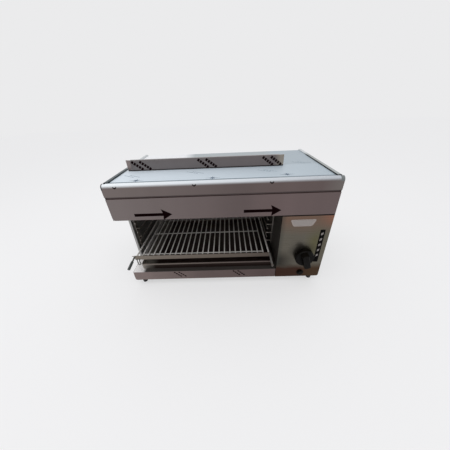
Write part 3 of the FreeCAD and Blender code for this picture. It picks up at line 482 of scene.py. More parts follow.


# Cavity sheets: deck, rear liner and the control box's inner wall
# Thin stainless sheets that hook into the pan and the ceiling. The liner still carries its
# clear protective film. The box wall and the deck are painted dark as shade, the deck pale at
# its open left end.

dress(steel("pale_film_sheet", tone(196, 190, 187), 0.55, 0.42, 0.04, 0.0005),
      "cavity_back_liner")
dress(steel("shaded_sheet", tone(70, 66, 62), 0.6, 0.42, 0.05, 0.0004), "control_box_wall")
pale_end_start = hood_left + 0.038
pale_end_stop = hood_left + 0.054
deck_steel = steel("deck_sheet", tone(70, 66, 62), 0.3, 0.42, 0.05, 0.0004)
[x] = deck_steel.axes("X")
# Painted shade: the deck is dark, except at its pale open left end.
open_end = 1 - x.ramp(pale_end_start, pale_end_stop)
deck_tone = deck_steel.mix(open_end, tone(62, 58, 55), tone(238, 236, 235))
deck_steel.set({"Base Color": deck_steel.scaled(deck_tone, 0.97 + deck_steel.brushed() * 0.06)})
dress(deck_steel, "deck")


# Base front
# A folded stainless strip along the front of the base, under smoky printed film. It hooks over
# the pan's edge.

band_cells = (7.0, 0.0, 0.6)
drift_end = cad_high.x * 0.4
dark_core = 0.03
dark_reach = 0.10


def darker_round(x, place):
    """1 close to a place along X and 0 further away."""
    return 1 - abs(x - place).ramp(dark_core, dark_reach)


def film_front(name, left_colour, right_colour, dark_place):
    """Front sheet under smoky film: its tone drifts from left to right, in soft upright bands."""
    finish = Finish(name, {"Metallic": 0.55, "Coat Weight": 0.25, "Coat Roughness": 0.22})
    [x] = finish.axes("X")
    lines = finish.brushed()
    bands = finish.noise(band_cells, 2.0)
    wrinkle = finish.noise((26.0, 26.0, 9.0), 2.0)
    colour = finish.mix(x.ramp(hood_left, drift_end), left_colour, right_colour)
    lit = 1 + (bands - 0.5) * 0.34 + (lines - 0.5) * 0.08 - darker_round(x, dark_place) * 0.14
    finish.set({
        "Base Color": finish.scaled(colour, lit),
        "Roughness": 0.34 + (lines - 0.5) * 0.14,
        "Normal": finish.bump(lines * brush_depth + wrinkle * 0.0005),
    })
    return finish


base_dark_place = -0.09
dress(film_front("base_front_film", tone(128, 112, 108), tone(84, 66, 64), base_dark_place),
      "base_front")


# Burner ceiling, burner bodies and ceramic plaques
# A stainless ceiling carries two aluminised steel burner boxes by their flanges. Each box
# holds a pale porous plaque, pierced all over with fine holes.

dress(steel("heated_steel", tone(128, 122, 116), 0.9, 0.4, 0.06, 0.0004), "burner_ceiling",
      "heat_shield")
dress(steel("aluminised_steel", tone(150, 150, 146), 0.85, 0.5, 0.03, 0.0004),
      "burner_body_left", "burner_body_right", "venturi_left", "venturi_right")

hole_pitch = 0.0032
hole_row_pitch = hole_pitch * 0.866
plaque = Finish("pierced_ceramic", {"Roughness": 0.85})
x, y = plaque.axes("XY")
shift = ((y / hole_row_pitch).math("FLOOR") * 0.5).math("FRACT")
across = (x / hole_pitch + shift).math("FRACT") - 0.5
along = (y / hole_row_pitch).math("FRACT") - 0.5
distance = (across * across + along * along * 0.75).math("SQRT")
hole = 1 - distance.ramp(0.20, 0.30)
grime = plaque.noise(40.0)
body_tone = plaque.mix(grime, tone(214, 196, 170), tone(232, 222, 204))
# The holes are painted dark as the shade inside them; the same mask sinks them in the relief.
plaque.set({
    "Base Color": plaque.mix(hole, body_tone, tone(70, 56, 46)),
    "Normal": plaque.bump(1 - hole, 0.0012),
})
dress(plaque, "burner_plaque_left", "burner_plaque_right")


# Burner guards
# A flat grid of drawn stainless wire under each plaque: three long wires with nine short ones
# welded across them.

wire_steel = mottled("drawn_wire", {"Metallic": 0.95}, 180.0, tone(150, 144, 138),
                     tone(196, 190, 184), gloss=(0.24, 0.18), relief=0.0001)
guard_radius = 0.0013
guard_long_wires = 3
guard_short_wires = 9


def bar(start, end, radius, sides=14):
    """Straight round bar whose ends are slightly rounded over."""
    start = Vector(start)
    end = Vector(end)
    length = (end - start).length
    over = min(radius * 0.35, length / 4)
    profile = [(0.0, 0.0), (0.0, radius - over), (over * 0.3, radius - over * 0.3),
               (over, radius), (length - over, radius), (length - over * 0.3, radius - over * 0.3),
               (length, radius - over), (length, 0.0)]
    return lathe(profile, start, end - start, sides)


for side in ("left", "right"):
    low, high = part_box("burner_guard_" + side)
    top_z = high.z - guard_radius
    low_z = low.z + guard_radius
    wire_front = low.y + guard_radius
    wire_back = high.y - guard_radius
    long_wire = bar((low.x, wire_front, top_z), (high.x, wire_front, top_z), guard_radius, 10)
    long_step = (0, (wire_back - wire_front) / (guard_long_wires - 1), 0)
    wire_left = low.x + guard_radius
    short_wire = bar((wire_left, low.y, low_z), (wire_left, high.y, low_z), guard_radius, 10)
    short_step = ((high.x - guard_radius - wire_left) / (guard_short_wires - 1), 0, 0)
    wires = [in_a_row(long_wire, guard_long_wires, long_step, wire_steel),
             in_a_row(short_wire, guard_short_wires, short_step, wire_steel)]
    piece("burner_guard_wires_" + side, wires, wire_steel, "housing",
          ["burner_guard_" + side])


# Gas line
# Steel pipe from the rear inlet to the valve and on to the burners, with brass injectors,
# a brass valve and a threaded brass inlet held by its nut. A wound spring pushes the knob out.

brass_tones = (tone(184, 142, 74), tone(214, 180, 112))
brass = mottled("machined_brass", {"Metallic": 1.0}, 120.0, *brass_tones, gloss=(0.26, 0.2))
brass.set({"Normal": brass.bump(brass.noise((60.0, 2400.0, 60.0), 1.0), 0.00005)})
dress(zinc, "gas_manifold", "gas_inlet_pipe", "gas_valve_nut")
dress(brass, "injector_left", "injector_right", "gas_inlet_locknut", "gas_valve",
      "valve_pusher", "valve_spindle")

thread_pitch = 0.0018
thread_start = back_face + 0.008
inlet_thread = mottled("threaded_brass", {"Metallic": 1.0}, 120.0, *brass_tones,
                       gloss=(0.28, 0.18))
[y] = inlet_thread.axes("Y")
groove = (y / thread_pitch * math.tau).math("SINE") * (y > thread_start)
inlet_thread.set({"Normal": inlet_thread.bump(groove, 0.0004)})
dress(inlet_thread, "gas_inlet")

spring_wire_radius = 0.0007
spring_turns = 4
spring_steps = 24
spring_sides = 10


def return_spring(name, node):
    """Round wire wound round Y, with a mesh of its own."""
    low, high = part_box(node)
    middle = (low + high) / 2
    radius = (high.x - low.x) / 2 - spring_wire_radius
    start = low.y + spring_wire_radius
    rise = high.y - spring_wire_radius - start
    count = spring_turns * spring_steps
    shape = bmesh.new()
    rings = []
    for index in range(count + 1):
        angle = 2 * math.pi * index / spring_steps
        out = Vector((math.cos(angle), 0, math.sin(angle)))
        along = Vector((-math.sin(angle) * radius, rise / (spring_turns * 2 * math.pi),
                        math.cos(angle) * radius)).normalized()
        side = along.cross(out)
        spot = Vector((middle.x, start + rise * index / count, middle.z)) + out * radius
        ring = []
        for step in range(spring_sides):
            turn = 2 * math.pi * step / spring_sides
            around = out * math.cos(turn) + side * math.sin(turn)
            ring.append(shape.verts.new(spot + around * spring_wire_radius))
        rings.append(ring)
    for near, far in zip(rings, rings[1:]):
        for step in range(spring_sides):
            after = (step + 1) % spring_sides
            shape.faces.new((near[step], near[after], far[after], far[step]))
    shape.faces.new(rings[0])
    shape.faces.new(rings[-1][::-1])
    spring = piece(name, [closed_mesh(shape, "wound_wire")], zinc, "housing",
                   [node])
    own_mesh(spring)


return_spring("valve_return_spring", "valve_spring")


# Ignition
# A push igniter behind the panel feeds a ceramic spark electrode through a sleeved lead. The
# flame probe's copper capillary runs back to the valve.

black_plastic = mottled("black_moulding", {"Specular IOR Level": 0.08}, 60.0, tone(8, 6, 4),
                        tone(15, 12, 10), gloss=(0.3, 0.16), detail=2.0)
black_plastic.set({"Normal": black_plastic.bump(black_plastic.noise(1400.0, 2.0), 0.00012)})
dress(black_plastic, "igniter_body", "igniter_button")
dress(zinc, "igniter_nut", "flame_probe")
return_spring("igniter_return_spring", "igniter_spring")
porcelain = mottled("electrode_porcelain", {"Roughness": 0.25, "Coat Weight": 0.4}, 90.0,
                    tone(226, 220, 208), tone(240, 236, 228), detail=2.0)
dress(porcelain, "spark_electrode")
sleeve = mottled("lead_sleeve", {"Roughness": 0.55}, 700.0, tone(92, 30, 24),
                 tone(122, 44, 34), relief=0.0002, detail=2.0)
dress(sleeve, "ignition_lead")
copper = mottled("copper_capillary", {"Metallic": 1.0}, 90.0, tone(170, 98, 66),
                 tone(204, 132, 96), gloss=(0.3, 0.2))
dress(copper, "flame_probe_capillary")


# Hood fascia
# The hood's lower front strip, folded under at the bottom. Its protective film is printed with
# two plain arrows. Painted shade darkens its top along the joint below the cover's skirt and
# its folded-under bottom edge.

joint_bottom = hood_top - 0.0535
hem_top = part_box("hood_fascia")[0].z + 0.0016
hood_dark_place = 0.045
fascia_film = film_front("hood_fascia_film", tone(120, 110, 108), tone(103, 87, 86),
                         hood_dark_place)
[z] = fascia_film.axes("Z")
# Painted shade along the joint at the top and on the folded-under bottom edge.
shaded = (z > joint_bottom) + (z < hem_top)
fascia_film.set({
    "Base Color": fascia_film.mix(shaded, fascia_film.current("Base Color"), tone(62, 42, 40)),
    "Metallic": 0.55 - shaded * 0.5,
})
dress(fascia_film, "hood_fascia")

ink = mottled("film_ink", {"Roughness": 0.9, "Specular IOR Level": 0.0}, 240.0, tone(13, 4, 6),
              tone(24, 10, 11))
print_thickness = 0.0002
fascia_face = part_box("base_front")[0].y


def printed(outlines, plane, level):
    """Thin flat marks. Plane "front" takes (x, z) on a sheet at y, "top" takes (x, y) at z."""
    shape = bmesh.new()
    for outline in outlines:
        if plane == "front":
            spots = [Vector((a, level, b)) for a, b in outline]
            out = Vector((0, -print_thickness, 0))
        else:
            spots = [Vector((a, b, level)) for a, b in outline]
            out = Vector((0, 0, print_thickness))
        below = [shape.verts.new(spot) for spot in spots]
        above = [shape.verts.new(spot + out) for spot in spots]
        shape.faces.new(below)
        shape.faces.new(above[::-1])
        for index in range(len(spots)):
            after = (index + 1) % len(spots)
            shape.faces.new((below[index], above[index], above[after], below[after]))
    return closed_mesh(shape, "printed")


arrow_head_length = 0.035
arrow_head_height = 0.043
arrow_shaft = 0.0115
arrow_lean = 0.003
arrow_places = ((0.0840, 0.2205, 0.1165), (0.475, 0.6075, 0.1145))


def arrow_outline(tail, tip, height):
    """Arrow that points to the right, with the barbs of its head swept back a little."""
    neck = tip - arrow_head_length * 0.94
    barb = tip - arrow_head_length
    half = arrow_shaft / 2
    reach = arrow_head_height / 2
    return [(tail, height - half), (neck, height - half), (barb, height - reach), (tip, height),
            (barb - arrow_lean, height + reach), (neck, height + half), (tail, height + half)]


arrows = [arrow_outline(hood_left + tail, hood_left + tip, hood_top - drop)
          for tail, tip, drop in arrow_places]
piece("film_arrows", [printed(arrows, "front", fascia_face)], ink, "housing")


# Top cover
# One folded sheet: the front skirt, the rounded front edge, a small lip and the flat top. Its
# film is printed with small stars on top and small chevrons just below the front edge.

cover_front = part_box("top_cover")[0].y
lip_back = cover_front + 0.0135
plate_front = cover_front + 0.0312
rear_start = 0.165
rear_stop = 0.185
pale_rear_end = (-0.185, -0.135)
grey_rear_start = (0.2, 0.26)
cap_width = 0.0035
cap_height = 0.020
gap_length = 0.013
gap_lead = 0.004
right_fade = 0.07
far_cap_width = 0.012
far_cap_height = 0.014

cover = Finish("top_cover_film", {"Coat Roughness": 0.2})
x, y, z = cover.axes("XYZ")
cover_lines = cover.brushed()
cover_bands = cover.noise(band_cells, 2.0)
cover_clouds = cover.noise((4.0, 9.0, 4.0), 2.0)
upward = cover.node("NewGeometry", {}, {}, "Normal")
upward = cover.node("SeparateXYZ", {}, {"Vector": upward}, "Z")
above = upward.ramp(0.02, 0.6)
over_width = x.ramp(hood_left, cad_high.x)

skirt_tone = cover.mix(x.ramp(hood_left, drift_end), tone(117, 106, 103), tone(97, 82, 80))
skirt_lit = 1 + (cover_bands - 0.5) * 0.3 - darker_round(x, hood_dark_place) * 0.10
skirt_tone = cover.scaled(skirt_tone, skirt_lit)
right_end = x.ramp(cad_high.x - right_fade, cad_high.x)
skirt_tone = cover.mix(right_end * 0.6, skirt_tone, tone(120, 116, 111))

# The pale bluish tones of the rear and the plate are painted light, as the sky the top faces.
rear_tone = cover.mix(x.ramp(*pale_rear_end), tone(232, 233, 235), tone(164, 172, 175))
rear_tone = cover.mix(x.ramp(*grey_rear_start), rear_tone, tone(163, 175, 183))
plate_tone = cover.mix(over_width, tone(213, 223, 231), tone(168, 181, 190))
plate_tone = cover.mix((y - cover_front).ramp(rear_start, rear_stop), plate_tone, rear_tone)
plate_tone = cover.scaled(plate_tone, 0.97 + cover_clouds * 0.06)
# Painted shade: a dark band on the plate just behind the lip.
plate_tone = cover.mix(y < plate_front, plate_tone, tone(112, 125, 135))
# Painted highlight: the bright band of the lip.
lip_highlight_tone = cover.mix(over_width, tone(236, 241, 244), tone(181, 186, 192))
plate_tone = cover.mix(y < lip_back, plate_tone, lip_highlight_tone)

# Painted shadow: near black on the cover's left end and in the gap beside the lip.
near_cap_shadow = (x < hood_left + cap_width) * (z > hood_top - cap_height)
near_gap_shadow = (x < hood_left + gap_length) * y.between(lip_back - gap_lead, plate_front)
far_cap = (x > cad_high.x - far_cap_width) * (z > hood_top - far_cap_height)
# Upward faces take the painted lit tones of the top; the other faces take the skirt's tones.
cover_tone = cover.mix(above, skirt_tone, plate_tone)
cover_tone = cover.mix(near_cap_shadow + near_gap_shadow, cover_tone, tone(24, 27, 29))
cover.set({
    "Base Color": cover.mix(far_cap, cover_tone, tone(112, 117, 117)),
    "Metallic": 0.5 - above * 0.45,
    "Coat Weight": 0.3 - above * 0.25,
    "Roughness": 0.32 + (cover_lines - 0.5) * 0.14 + above * 0.2,
    "Normal": cover.bump(cover_lines * brush_depth + cover_clouds * 0.0012),
})
dress(cover, "top_cover")

pale_print = {"Roughness": 0.7, "Specular IOR Level": 0.2}
pale_ink = mottled("film_pale_ink", pale_print, 200.0, tone(106, 122, 134),
                   tone(146, 160, 170))
star_ink = mottled("film_star_ink", pale_print, 200.0, tone(62, 76, 94), tone(104, 120, 138))
cover_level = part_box("flue_collar")[0].z
star_places = ((0.105, 0.043), (0.370, 0.043), (0.626, 0.053))
star_reach = (0.026, 0.0044, 0.012, 0.0044, 0.017, 0.0044, 0.012, 0.0044)


def star_outline(middle_x, middle_y):
    """Eight-pointed star with its longest arms along X."""
    spots = []
    for index in range(16):
        angle = math.pi * index / 8
        reach = star_reach[index % 8]
        spots.append((middle_x + reach * math.cos(angle), middle_y + reach * math.sin(angle)))
    return spots


stars = [star_outline(hood_left + a, cover_front + b) for a, b in star_places]
piece("film_stars", [printed(stars, "top", cover_level)], star_ink, "housing")

chevron_places = (0.0465, 0.311, 0.5655)
chevron_half = 0.0064
chevron_drop = 0.0046
chevron_line = 0.0046
chevron_level = -0.0035
roll_radius = 0.0127
roll_level = hood_top - roll_radius


def on_front(x, rise, lift):
    """Point on the skirt, or past its top on the rounded edge, by its way up from the roll."""
    angle = max(rise, 0.0) / roll_radius
    reach = roll_radius + lift
    return Vector((x, cover_front + roll_radius - reach * math.cos(angle),
                   roll_level + min(rise, 0.0) + reach * math.sin(angle)))


def rolled_chevron(middle):
    """Small V-shaped mark that follows the rounded front edge."""
    shape = bmesh.new()
    skins = []
    for lift in (0.0, print_thickness):
        columns = []
        for column in range(7):
            aside = column / 3 - 1
            rise = chevron_level + chevron_drop * abs(aside)
            columns.append([shape.verts.new(on_front(
                middle + chevron_half * aside, rise + chevron_line * step / 3, lift))
                for step in range(4)])
        skins.append(columns)
    for columns in skins:
        for a in range(6):
            for b in range(3):
                shape.faces.new((columns[a][b], columns[a + 1][b], columns[a + 1][b + 1],
                                 columns[a][b + 1]))
    border = [(a, 0) for a in range(7)] + [(6, 1), (6, 2)]
    border += [(a, 3) for a in range(6, -1, -1)] + [(0, 2), (0, 1)]
    for first, second in zip(border, border[1:] + border[:1]):
        shape.faces.new([skins[skin][a][b] for skin, (a, b) in
                         ((0, first), (0, second), (1, second), (1, first))])
    return closed_mesh(shape, "chevron")


chevrons = [rolled_chevron(hood_left + place) for place in chevron_places]
piece("film_chevrons", chevrons, ink, "housing")


# Flue outlet and deflector
# A folded collar and a slotted grille cover the flue. The deflector in front is a folded strip
# with two turned-back ends, held by three domed rivets, under printed film.

dress(steel("flue_steel", tone(150, 148, 144), 0.9, 0.4, 0.06, 0.0003), "flue_collar",
      "flue_grille")

deflector_low, deflector_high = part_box("deflector")
far_end_start = deflector_high.x - 0.035
far_end_stop = deflector_high.x - 0.012
near_end_start = deflector_low.x + 0.015
near_end_stop = deflector_low.x + 0.019
foot_shade_top = deflector_low.z + 0.0045
strip_film = Finish("deflector_film", {"Metallic": 0.55, "Coat Weight": 0.25})
x, z = strip_film.axes("XZ")
strip_lines = strip_film.brushed()
strip_bands = strip_film.noise((9.0, 0.0, 0.5), 2.0)
strip_tone = strip_film.mix(x.ramp(deflector_low.x, deflector_high.x), tone(112, 106, 105),
                            tone(114, 104, 103))
# Painted light: the turned-back ends are lighter where light falls on them.
strip_tone = strip_film.mix(x.ramp(far_end_start, far_end_stop), strip_tone,
                            tone(158, 148, 136))
strip_tone = strip_film.mix(1 - x.ramp(near_end_start, near_end_stop), strip_tone,
                            tone(134, 122, 120))
strip_tone = strip_film.scaled(strip_tone, 0.9 + strip_bands * 0.2)
strip_film.set({
    "Base Color": strip_film.mix(z < foot_shade_top, strip_tone, tone(38, 32, 32)),
    "Roughness": 0.32 + (strip_lines - 0.5) * 0.14,
    "Normal": strip_film.bump(strip_lines * brush_depth + strip_bands * 0.0004),
})
dress(strip_film, "deflector")

rivet_low, rivet_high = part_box("deflector_rivets")
rivet_radius = 0.0016
rivet_head = (rivet_high.y - rivet_low.y) / 2
rivet_base = rivet_low.z
rivet_seat = rivet_high.z - 0.001
rivet_profile = [(rivet_base, 0.0), (rivet_base, rivet_radius), (rivet_seat, rivet_radius),
                 (rivet_seat, rivet_head), (rivet_seat + 0.0005, rivet_head * 0.8),
                 (rivet_high.z, rivet_head * 0.3), (rivet_high.z, 0.0)]
rivet_left = rivet_low.x + rivet_head
rivet = lathe(rivet_profile, (rivet_left, (rivet_low.y + rivet_high.y) / 2, 0), (0, 0, 1), 20)
rivet_step = ((rivet_high.x - rivet_head - rivet_left) / 2, 0, 0)
piece("domed_rivets", [in_a_row(rivet, 3, rivet_step, zinc)], zinc, "housing",
      ["deflector_rivets"])

dash_length = 0.0082
dash_gap = 0.0107


def hatch(start, slope, count, line_step, dash_width, plane, level, finish):
    """Two broken slanted lines beside each other, as generic print on the film."""
    run = Vector((1.0, slope)).normalized()
    side = Vector((-run.y, run.x)) * dash_width / 2
    corners = ((0, -1), (dash_length, -1), (dash_length, 1), (0, 1))
    outline = [(start[0] + run.x * along + side.x * sign, start[1] + run.y * along + side.y * sign)
               for along, sign in corners]
    move = run * dash_gap
    step = (move.x, 0, move.y) if plane == "front" else (move.x, move.y, 0)
    one_line = in_a_row(printed([outline], plane, level), count, step, finish)
    return in_a_row(one_line, 2, (line_step, 0, 0), finish)


strip_hatch_places = (0.022, 0.280, 0.530)
strip_hatch_top = deflector_high.z - 0.006
strip_marks = [hatch((deflector_low.x + place, strip_hatch_top), -0.76, 5, 0.0315, 0.0105,
                     "front", deflector_low.y, ink) for place in strip_hatch_places]
piece("deflector_hatches", strip_marks, ink, "housing")

base_hatch_places = (0.177, 0.432)
base_hatch_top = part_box("base_front")[1].z - 0.004
base_marks = [hatch((hood_left + place, base_hatch_top), -0.9, 4, 0.020, 0.0056, "front",
                    fascia_face, ink) for place in base_hatch_places]
piece("base_hatches", base_marks, ink, "housing")

cover_hatch_places = ((0.038, 0.105), (0.268, 0.125), (0.534, 0.117), (0.688, 0.210))
cover_marks = [hatch((hood_left + a, cover_front + b), -0.6, 5, 0.022, 0.0028, "top",
                     cover_level, pale_ink) for a, b in cover_hatch_places]
piece("cover_hatches", cover_marks, pale_ink, "housing")


# Control panel
# Satin stainless panel without film, brown at its foot and grey with an olive patch above. A
# bare pressed plate and a dark strip with five slanted windows are fixed on it.

panel_low, panel_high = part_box("control_panel")
knob_shade_place = (panel_low.x + 0.095, panel_low.z + 0.146)
knob_shade_size = (0.062, 0.042)
panel_shade_start = panel_high.z - 0.0028
panel = Finish("control_panel_steel", {"Metallic": 0.7})
x, z = panel.axes("XZ")
panel_lines = panel.brushed()
panel_clouds = panel.noise((9.0, 9.0, 5.0))
height = (z - panel_low.z) / (panel_high.z - panel_low.z) + (panel_clouds - 0.5) * 0.12
side = (x - panel_low.x) / (panel_high.x - panel_low.x)
brown = panel.mix(side.ramp(0.5, 0.75), tone(54, 25, 6), tone(64, 42, 18))
panel_tone = panel.mix(height.ramp(0.16, 0.25), brown, tone(98, 93, 83))
panel_tone = panel.mix(height.ramp(0.72, 0.95), panel_tone, tone(112, 89, 75))
corner = side.ramp(0.72, 1.0) * height.ramp(0.8, 1.0)
left_shade = (1 - side.ramp(0.05, 0.42)) * height.ramp(0.15, 0.24) * (
    1 - height.ramp(0.34, 0.5))
olive = side.ramp(0.5, 0.72) * height.ramp(0.2, 0.5) * (1 - height.ramp(0.65, 0.85))
olive = olive * (1 - side.ramp(0.76, 0.9) * 0.75)
left_edge = (1 - side.ramp(0.0, 0.1)) * height.ramp(0.18, 0.28)
away_x = (x - knob_shade_place[0]) / knob_shade_size[0]
away_z = (z - knob_shade_place[1]) / knob_shade_size[1]
knob_shade = 1 - (away_x * away_x + away_z * away_z).math("SQRT").ramp(0.2, 1.0)
for share, colour in ((corner * 0.65, tone(150, 98, 78)), (left_shade * 0.95, tone(36, 31, 26)),
                      (olive * 0.8, tone(92, 88, 58)), (left_edge * 0.6, tone(58, 60, 55)),
                      (knob_shade * 0.75, tone(30, 27, 25)),
                      (z > panel_shade_start, tone(40, 28, 24))):
    panel_tone = panel.mix(share, panel_tone, colour)
panel.set({
    "Base Color": panel.scaled(panel_tone, 0.95 + panel_lines * 0.1),
    "Roughness": 0.3 + (panel_lines - 0.5) * 0.16,
    "Normal": panel.bump(panel_lines * brush_depth + panel_clouds * 0.0004),
})
dress(panel, "control_panel")

badge_low, badge_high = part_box("badge_plate")
badge_middle = (badge_low.x + badge_high.x) / 2
badge_half = (badge_high.x - badge_low.x) / 2
badge_rim = 0.0035
badge_slant = 0.43
badge_corner = 0.007
plate = Finish("pressed_plate", {"Metallic": 0.35, "Coat Weight": 0.3})
x, z = plate.axes("XZ")
taper = badge_half - badge_rim * 1.6 - (badge_high.z - z) * badge_slant - abs(x - badge_middle)
lower_corner = z - badge_low.z - badge_rim + taper
inside = z.between(badge_low.z + badge_rim, badge_high.z - badge_rim)
inside = inside * (taper > 0) * (lower_corner > badge_corner)
plate.set({
    "Base Color": plate.mix(inside, tone(161, 151, 146), tone(156, 148, 144)),
    "Roughness": 0.34 + plate.noise(50.0, 2.0) * 0.12,
    "Normal": plate.bump(1 - inside, 0.0006),
})
dress(plate, "badge_plate")

strip_black = mottled("window_strip_black", {"Specular IOR Level": 0.02}, 500.0, tone(9, 8, 7),
                      tone(15, 13, 12), gloss=(0.3, 0.16), detail=2.0)
dress(strip_black, "window_strip")
window_glass = mottled("frosted_window", {"Roughness": 0.3, "Coat Weight": 0.5}, 300.0,
                       tone(122, 115, 112), tone(148, 140, 136), detail=2.0)
strip_low, strip_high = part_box("window_strip")
window_count = 5
window_pitch = 0.026
window_drop = 0.0185
window_half_width = 0.0042
window_half_height = 0.0052
window_slant = 0.0024
strip_middle = (strip_low.x + strip_high.x) / 2
first_window = strip_high.z - window_drop - window_pitch * (window_count - 1)
window_outline = [(strip_middle + window_half_width * across,
                   first_window + window_half_height * up + window_slant * across)
                  for across, up in ((-1, -1), (1, -1), (1, 1), (-1, 1))]
window = printed([window_outline], "front", strip_high.y)
piece("strip_windows", [in_a_row(window, window_count, (0, 0, window_pitch), window_glass)],
      window_glass, "housing")


# Knob
# One black moulding pushed onto the valve's flatted spindle: a round skirt with a tall grip
# bar across it.

dress(black_plastic, "knob")


# Rack runners
# Two welded ladders of drawn wire. Each has two flat posts on the wall and four rungs that the
# rack's side rods slide on.

wall_thickness = 0.0012
cavity_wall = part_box("control_box_wall")[0].x
left_wall = hood_left + wall_thickness
rung_radius = 0.0025
rung_levels = 4
rung_pitch = 0.044
stub_bite = 0.0003
post_thickness = 0.002
post_width = 0.018
post_inset = 0.026
post_end = 0.009
for side, wall, inward in (("left", left_wall, 1), ("right", cavity_wall, -1)):
    low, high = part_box("rack_runner_" + side)
    rung_x = (high.x - rung_radius) if inward > 0 else (low.x + rung_radius)
    rung_low = low.z + post_end
    rung = bar((rung_x, low.y, rung_low), (rung_x, high.y, rung_low), rung_radius)
    meshes = [in_a_row(rung, rung_levels, (0, 0, rung_pitch), wire_steel)]
    first_post = low.y + post_inset + post_width / 2
    last_post = high.y - post_inset - post_width / 2
    post = block_mesh(Vector((wall + inward * post_thickness / 2, first_post,
                              (low.z + high.z) / 2)),
                      (post_thickness, post_width, high.z - low.z))
    post_step = (0, last_post - first_post, 0)
    meshes.append(in_a_row(post, 2, post_step, wire_steel))
    stub = bar((wall + inward * stub_bite, first_post, rung_low), (rung_x, first_post, rung_low),
               rung_radius)
    stub_column = in_a_row(stub, rung_levels, (0, 0, rung_pitch), wire_steel)
    meshes.append(in_a_row(stub_column, 2, post_step, wire_steel))
    piece("rack_runner_wires_" + side, meshes, wire_steel, "housing",
          ["rack_runner_" + side])


# Rack
# Bright round rods welded on three cross wires and closed by a thicker rod at the back. A flat
# bar across the front carries a short stub, a wire loop and two handle rods.

rack_steel = mottled("bright_rack_steel", {"Metallic": 0.15}, 160.0, tone(206, 204, 200),
                     tone(234, 232, 228), gloss=(0.22, 0.18), relief=0.0001)
rack_heat = rack_steel.noise(12.0, 2.0)
rack_steel.set({"Base Color": rack_steel.mix(rack_heat * 0.3, rack_steel.current("Base Color"),
                                             tone(160, 148, 132))})
rack_low, rack_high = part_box("rack_grid")
front_bar_low, front_bar_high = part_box("rack_front_bar")
rod_radius = 0.0025
side_rod_radius = 0.0035
cross_radius = 0.0025
cross_shares = (0.06, 0.5, 0.94)
cross_end = 0.026
rod_count = 23
rod_drop = 0.002
rod_level = front_bar_high.z - rod_drop - rod_radius
rod_start = front_bar_high.y
side_left = rack_low.x + side_rod_radius
side_right = rack_high.x - side_rod_radius
rack_rear = rack_high.y - side_rod_radius
rod_pitch = (side_right - side_left) / (rod_count + 1)
side_rod = bar((side_left, rod_start, rod_level), (side_left, rack_rear, rod_level),
               side_rod_radius)
inner_rod = bar((side_left + rod_pitch, rod_start, rod_level),
                (side_left + rod_pitch, rack_rear, rod_level), rod_radius)
rear_rod = bar((side_left, rack_rear, rod_level), (side_right, rack_rear, rod_level),
               side_rod_radius)
cross_level = rack_low.z + cross_radius
cross_spots = [front_bar_low.y + (rack_rear - front_bar_low.y) * share for share in cross_shares]
cross_wire = bar((rack_low.x + cross_end, cross_spots[0], cross_level),
                 (rack_high.x - cross_end, cross_spots[0], cross_level), cross_radius)
cross_step = (0, cross_spots[1] - cross_spots[0], 0)
rack_meshes = [
    in_a_row(side_rod, 2, (side_right - side_left, 0, 0), rack_steel),
    in_a_row(inner_rod, rod_count, (rod_pitch, 0, 0), rack_steel),
    rear_rod,
    in_a_row(cross_wire, len(cross_shares), cross_step, rack_steel),
]
piece("rack_rods", rack_meshes, rack_steel, "rack", ["rack_grid"])

bar_steel = steel("rack_bar_steel", tone(108, 99, 90), 0.5, 0.34, 0.08, 0.0003)
[x] = bar_steel.axes("X")
bar_tone = bar_steel.mix(x.ramp(rack_low.x, rack_high.x), tone(132, 122, 111), tone(88, 78, 70))
bar_steel.set({"Base Color": bar_steel.scaled(bar_tone, 0.95 + bar_steel.brushed() * 0.1)})
dress(bar_steel, "rack_front_bar")
dress(steel("handle_steel", tone(122, 122, 118), 0.7, 0.3, along="y"), "rack_hook",
      "rack_handle_left")
# The right handle rod is the same steel as the left, painted lighter as lit against the dark
# cavity.
dress(steel("right_rod_steel", tone(146, 144, 140), 0.5, 0.3, along="y"), "rack_handle_right")
grip_black = mottled("handle_sleeve", {"Roughness": 0.55}, (60.0, 500.0, 60.0),
                     tone(54, 58, 58), tone(78, 82, 80), relief=0.0003, detail=2.0)
dress(grip_black, "handle_grip")
cap_grey = mottled("handle_cap_grey", {"Roughness": 0.5}, 300.0, tone(76, 70, 66),
                   tone(102, 95, 90), relief=0.0002, detail=2.0)
dress(cap_grey, "handle_cap")


# Drip tray
# Pressed from thin stainless sheet, with a rolled hem along its front. It slides on the deck
# under the rack.

tray_low, tray_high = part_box("drip_tray")
hem_height = 0.0045
pale_end_length = 0.06
tray_steel = steel("tray_steel", tone(60, 56, 54), 0.6, 0.38, 0.06, 0.0006)
x, z = tray_steel.axes("XZ")
# Painted light and shade: the hem is a painted highlight, the walls a painted shade, pale towards
# the left end.
hem_highlight_colour = tray_steel.mix(x.ramp(tray_low.x, tray_high.x), tone(136, 127, 119),
                            tone(108, 96, 92))
tray_end = 1 - x.ramp(tray_low.x, tray_low.x + pale_end_length)
wall_shade_colour = tray_steel.mix(tray_end * 0.85, tone(46, 33, 29), tone(164, 160, 152))
tray_steel.set({"Base Color": tray_steel.mix(z > tray_high.z - hem_height, wall_shade_colour,
                                             hem_highlight_colour)})
dress(tray_steel, "drip_tray")


# Studio
# Pale floor, soft light all round with a large lamp above, and a camera close above the front,
# as in the reference view.

half_floor = 7.0
floor_glow = 0.5
floor_mesh = bpy.data.meshes.new("studio_floor")
floor_mesh.from_pydata(
    [(-half_floor, -half_floor, 0), (half_floor, -half_floor, 0), (half_floor, half_floor, 0),
     (-half_floor, half_floor, 0)], [], [(0, 1, 2, 3)])
floor = placed("studio_floor", floor_mesh)


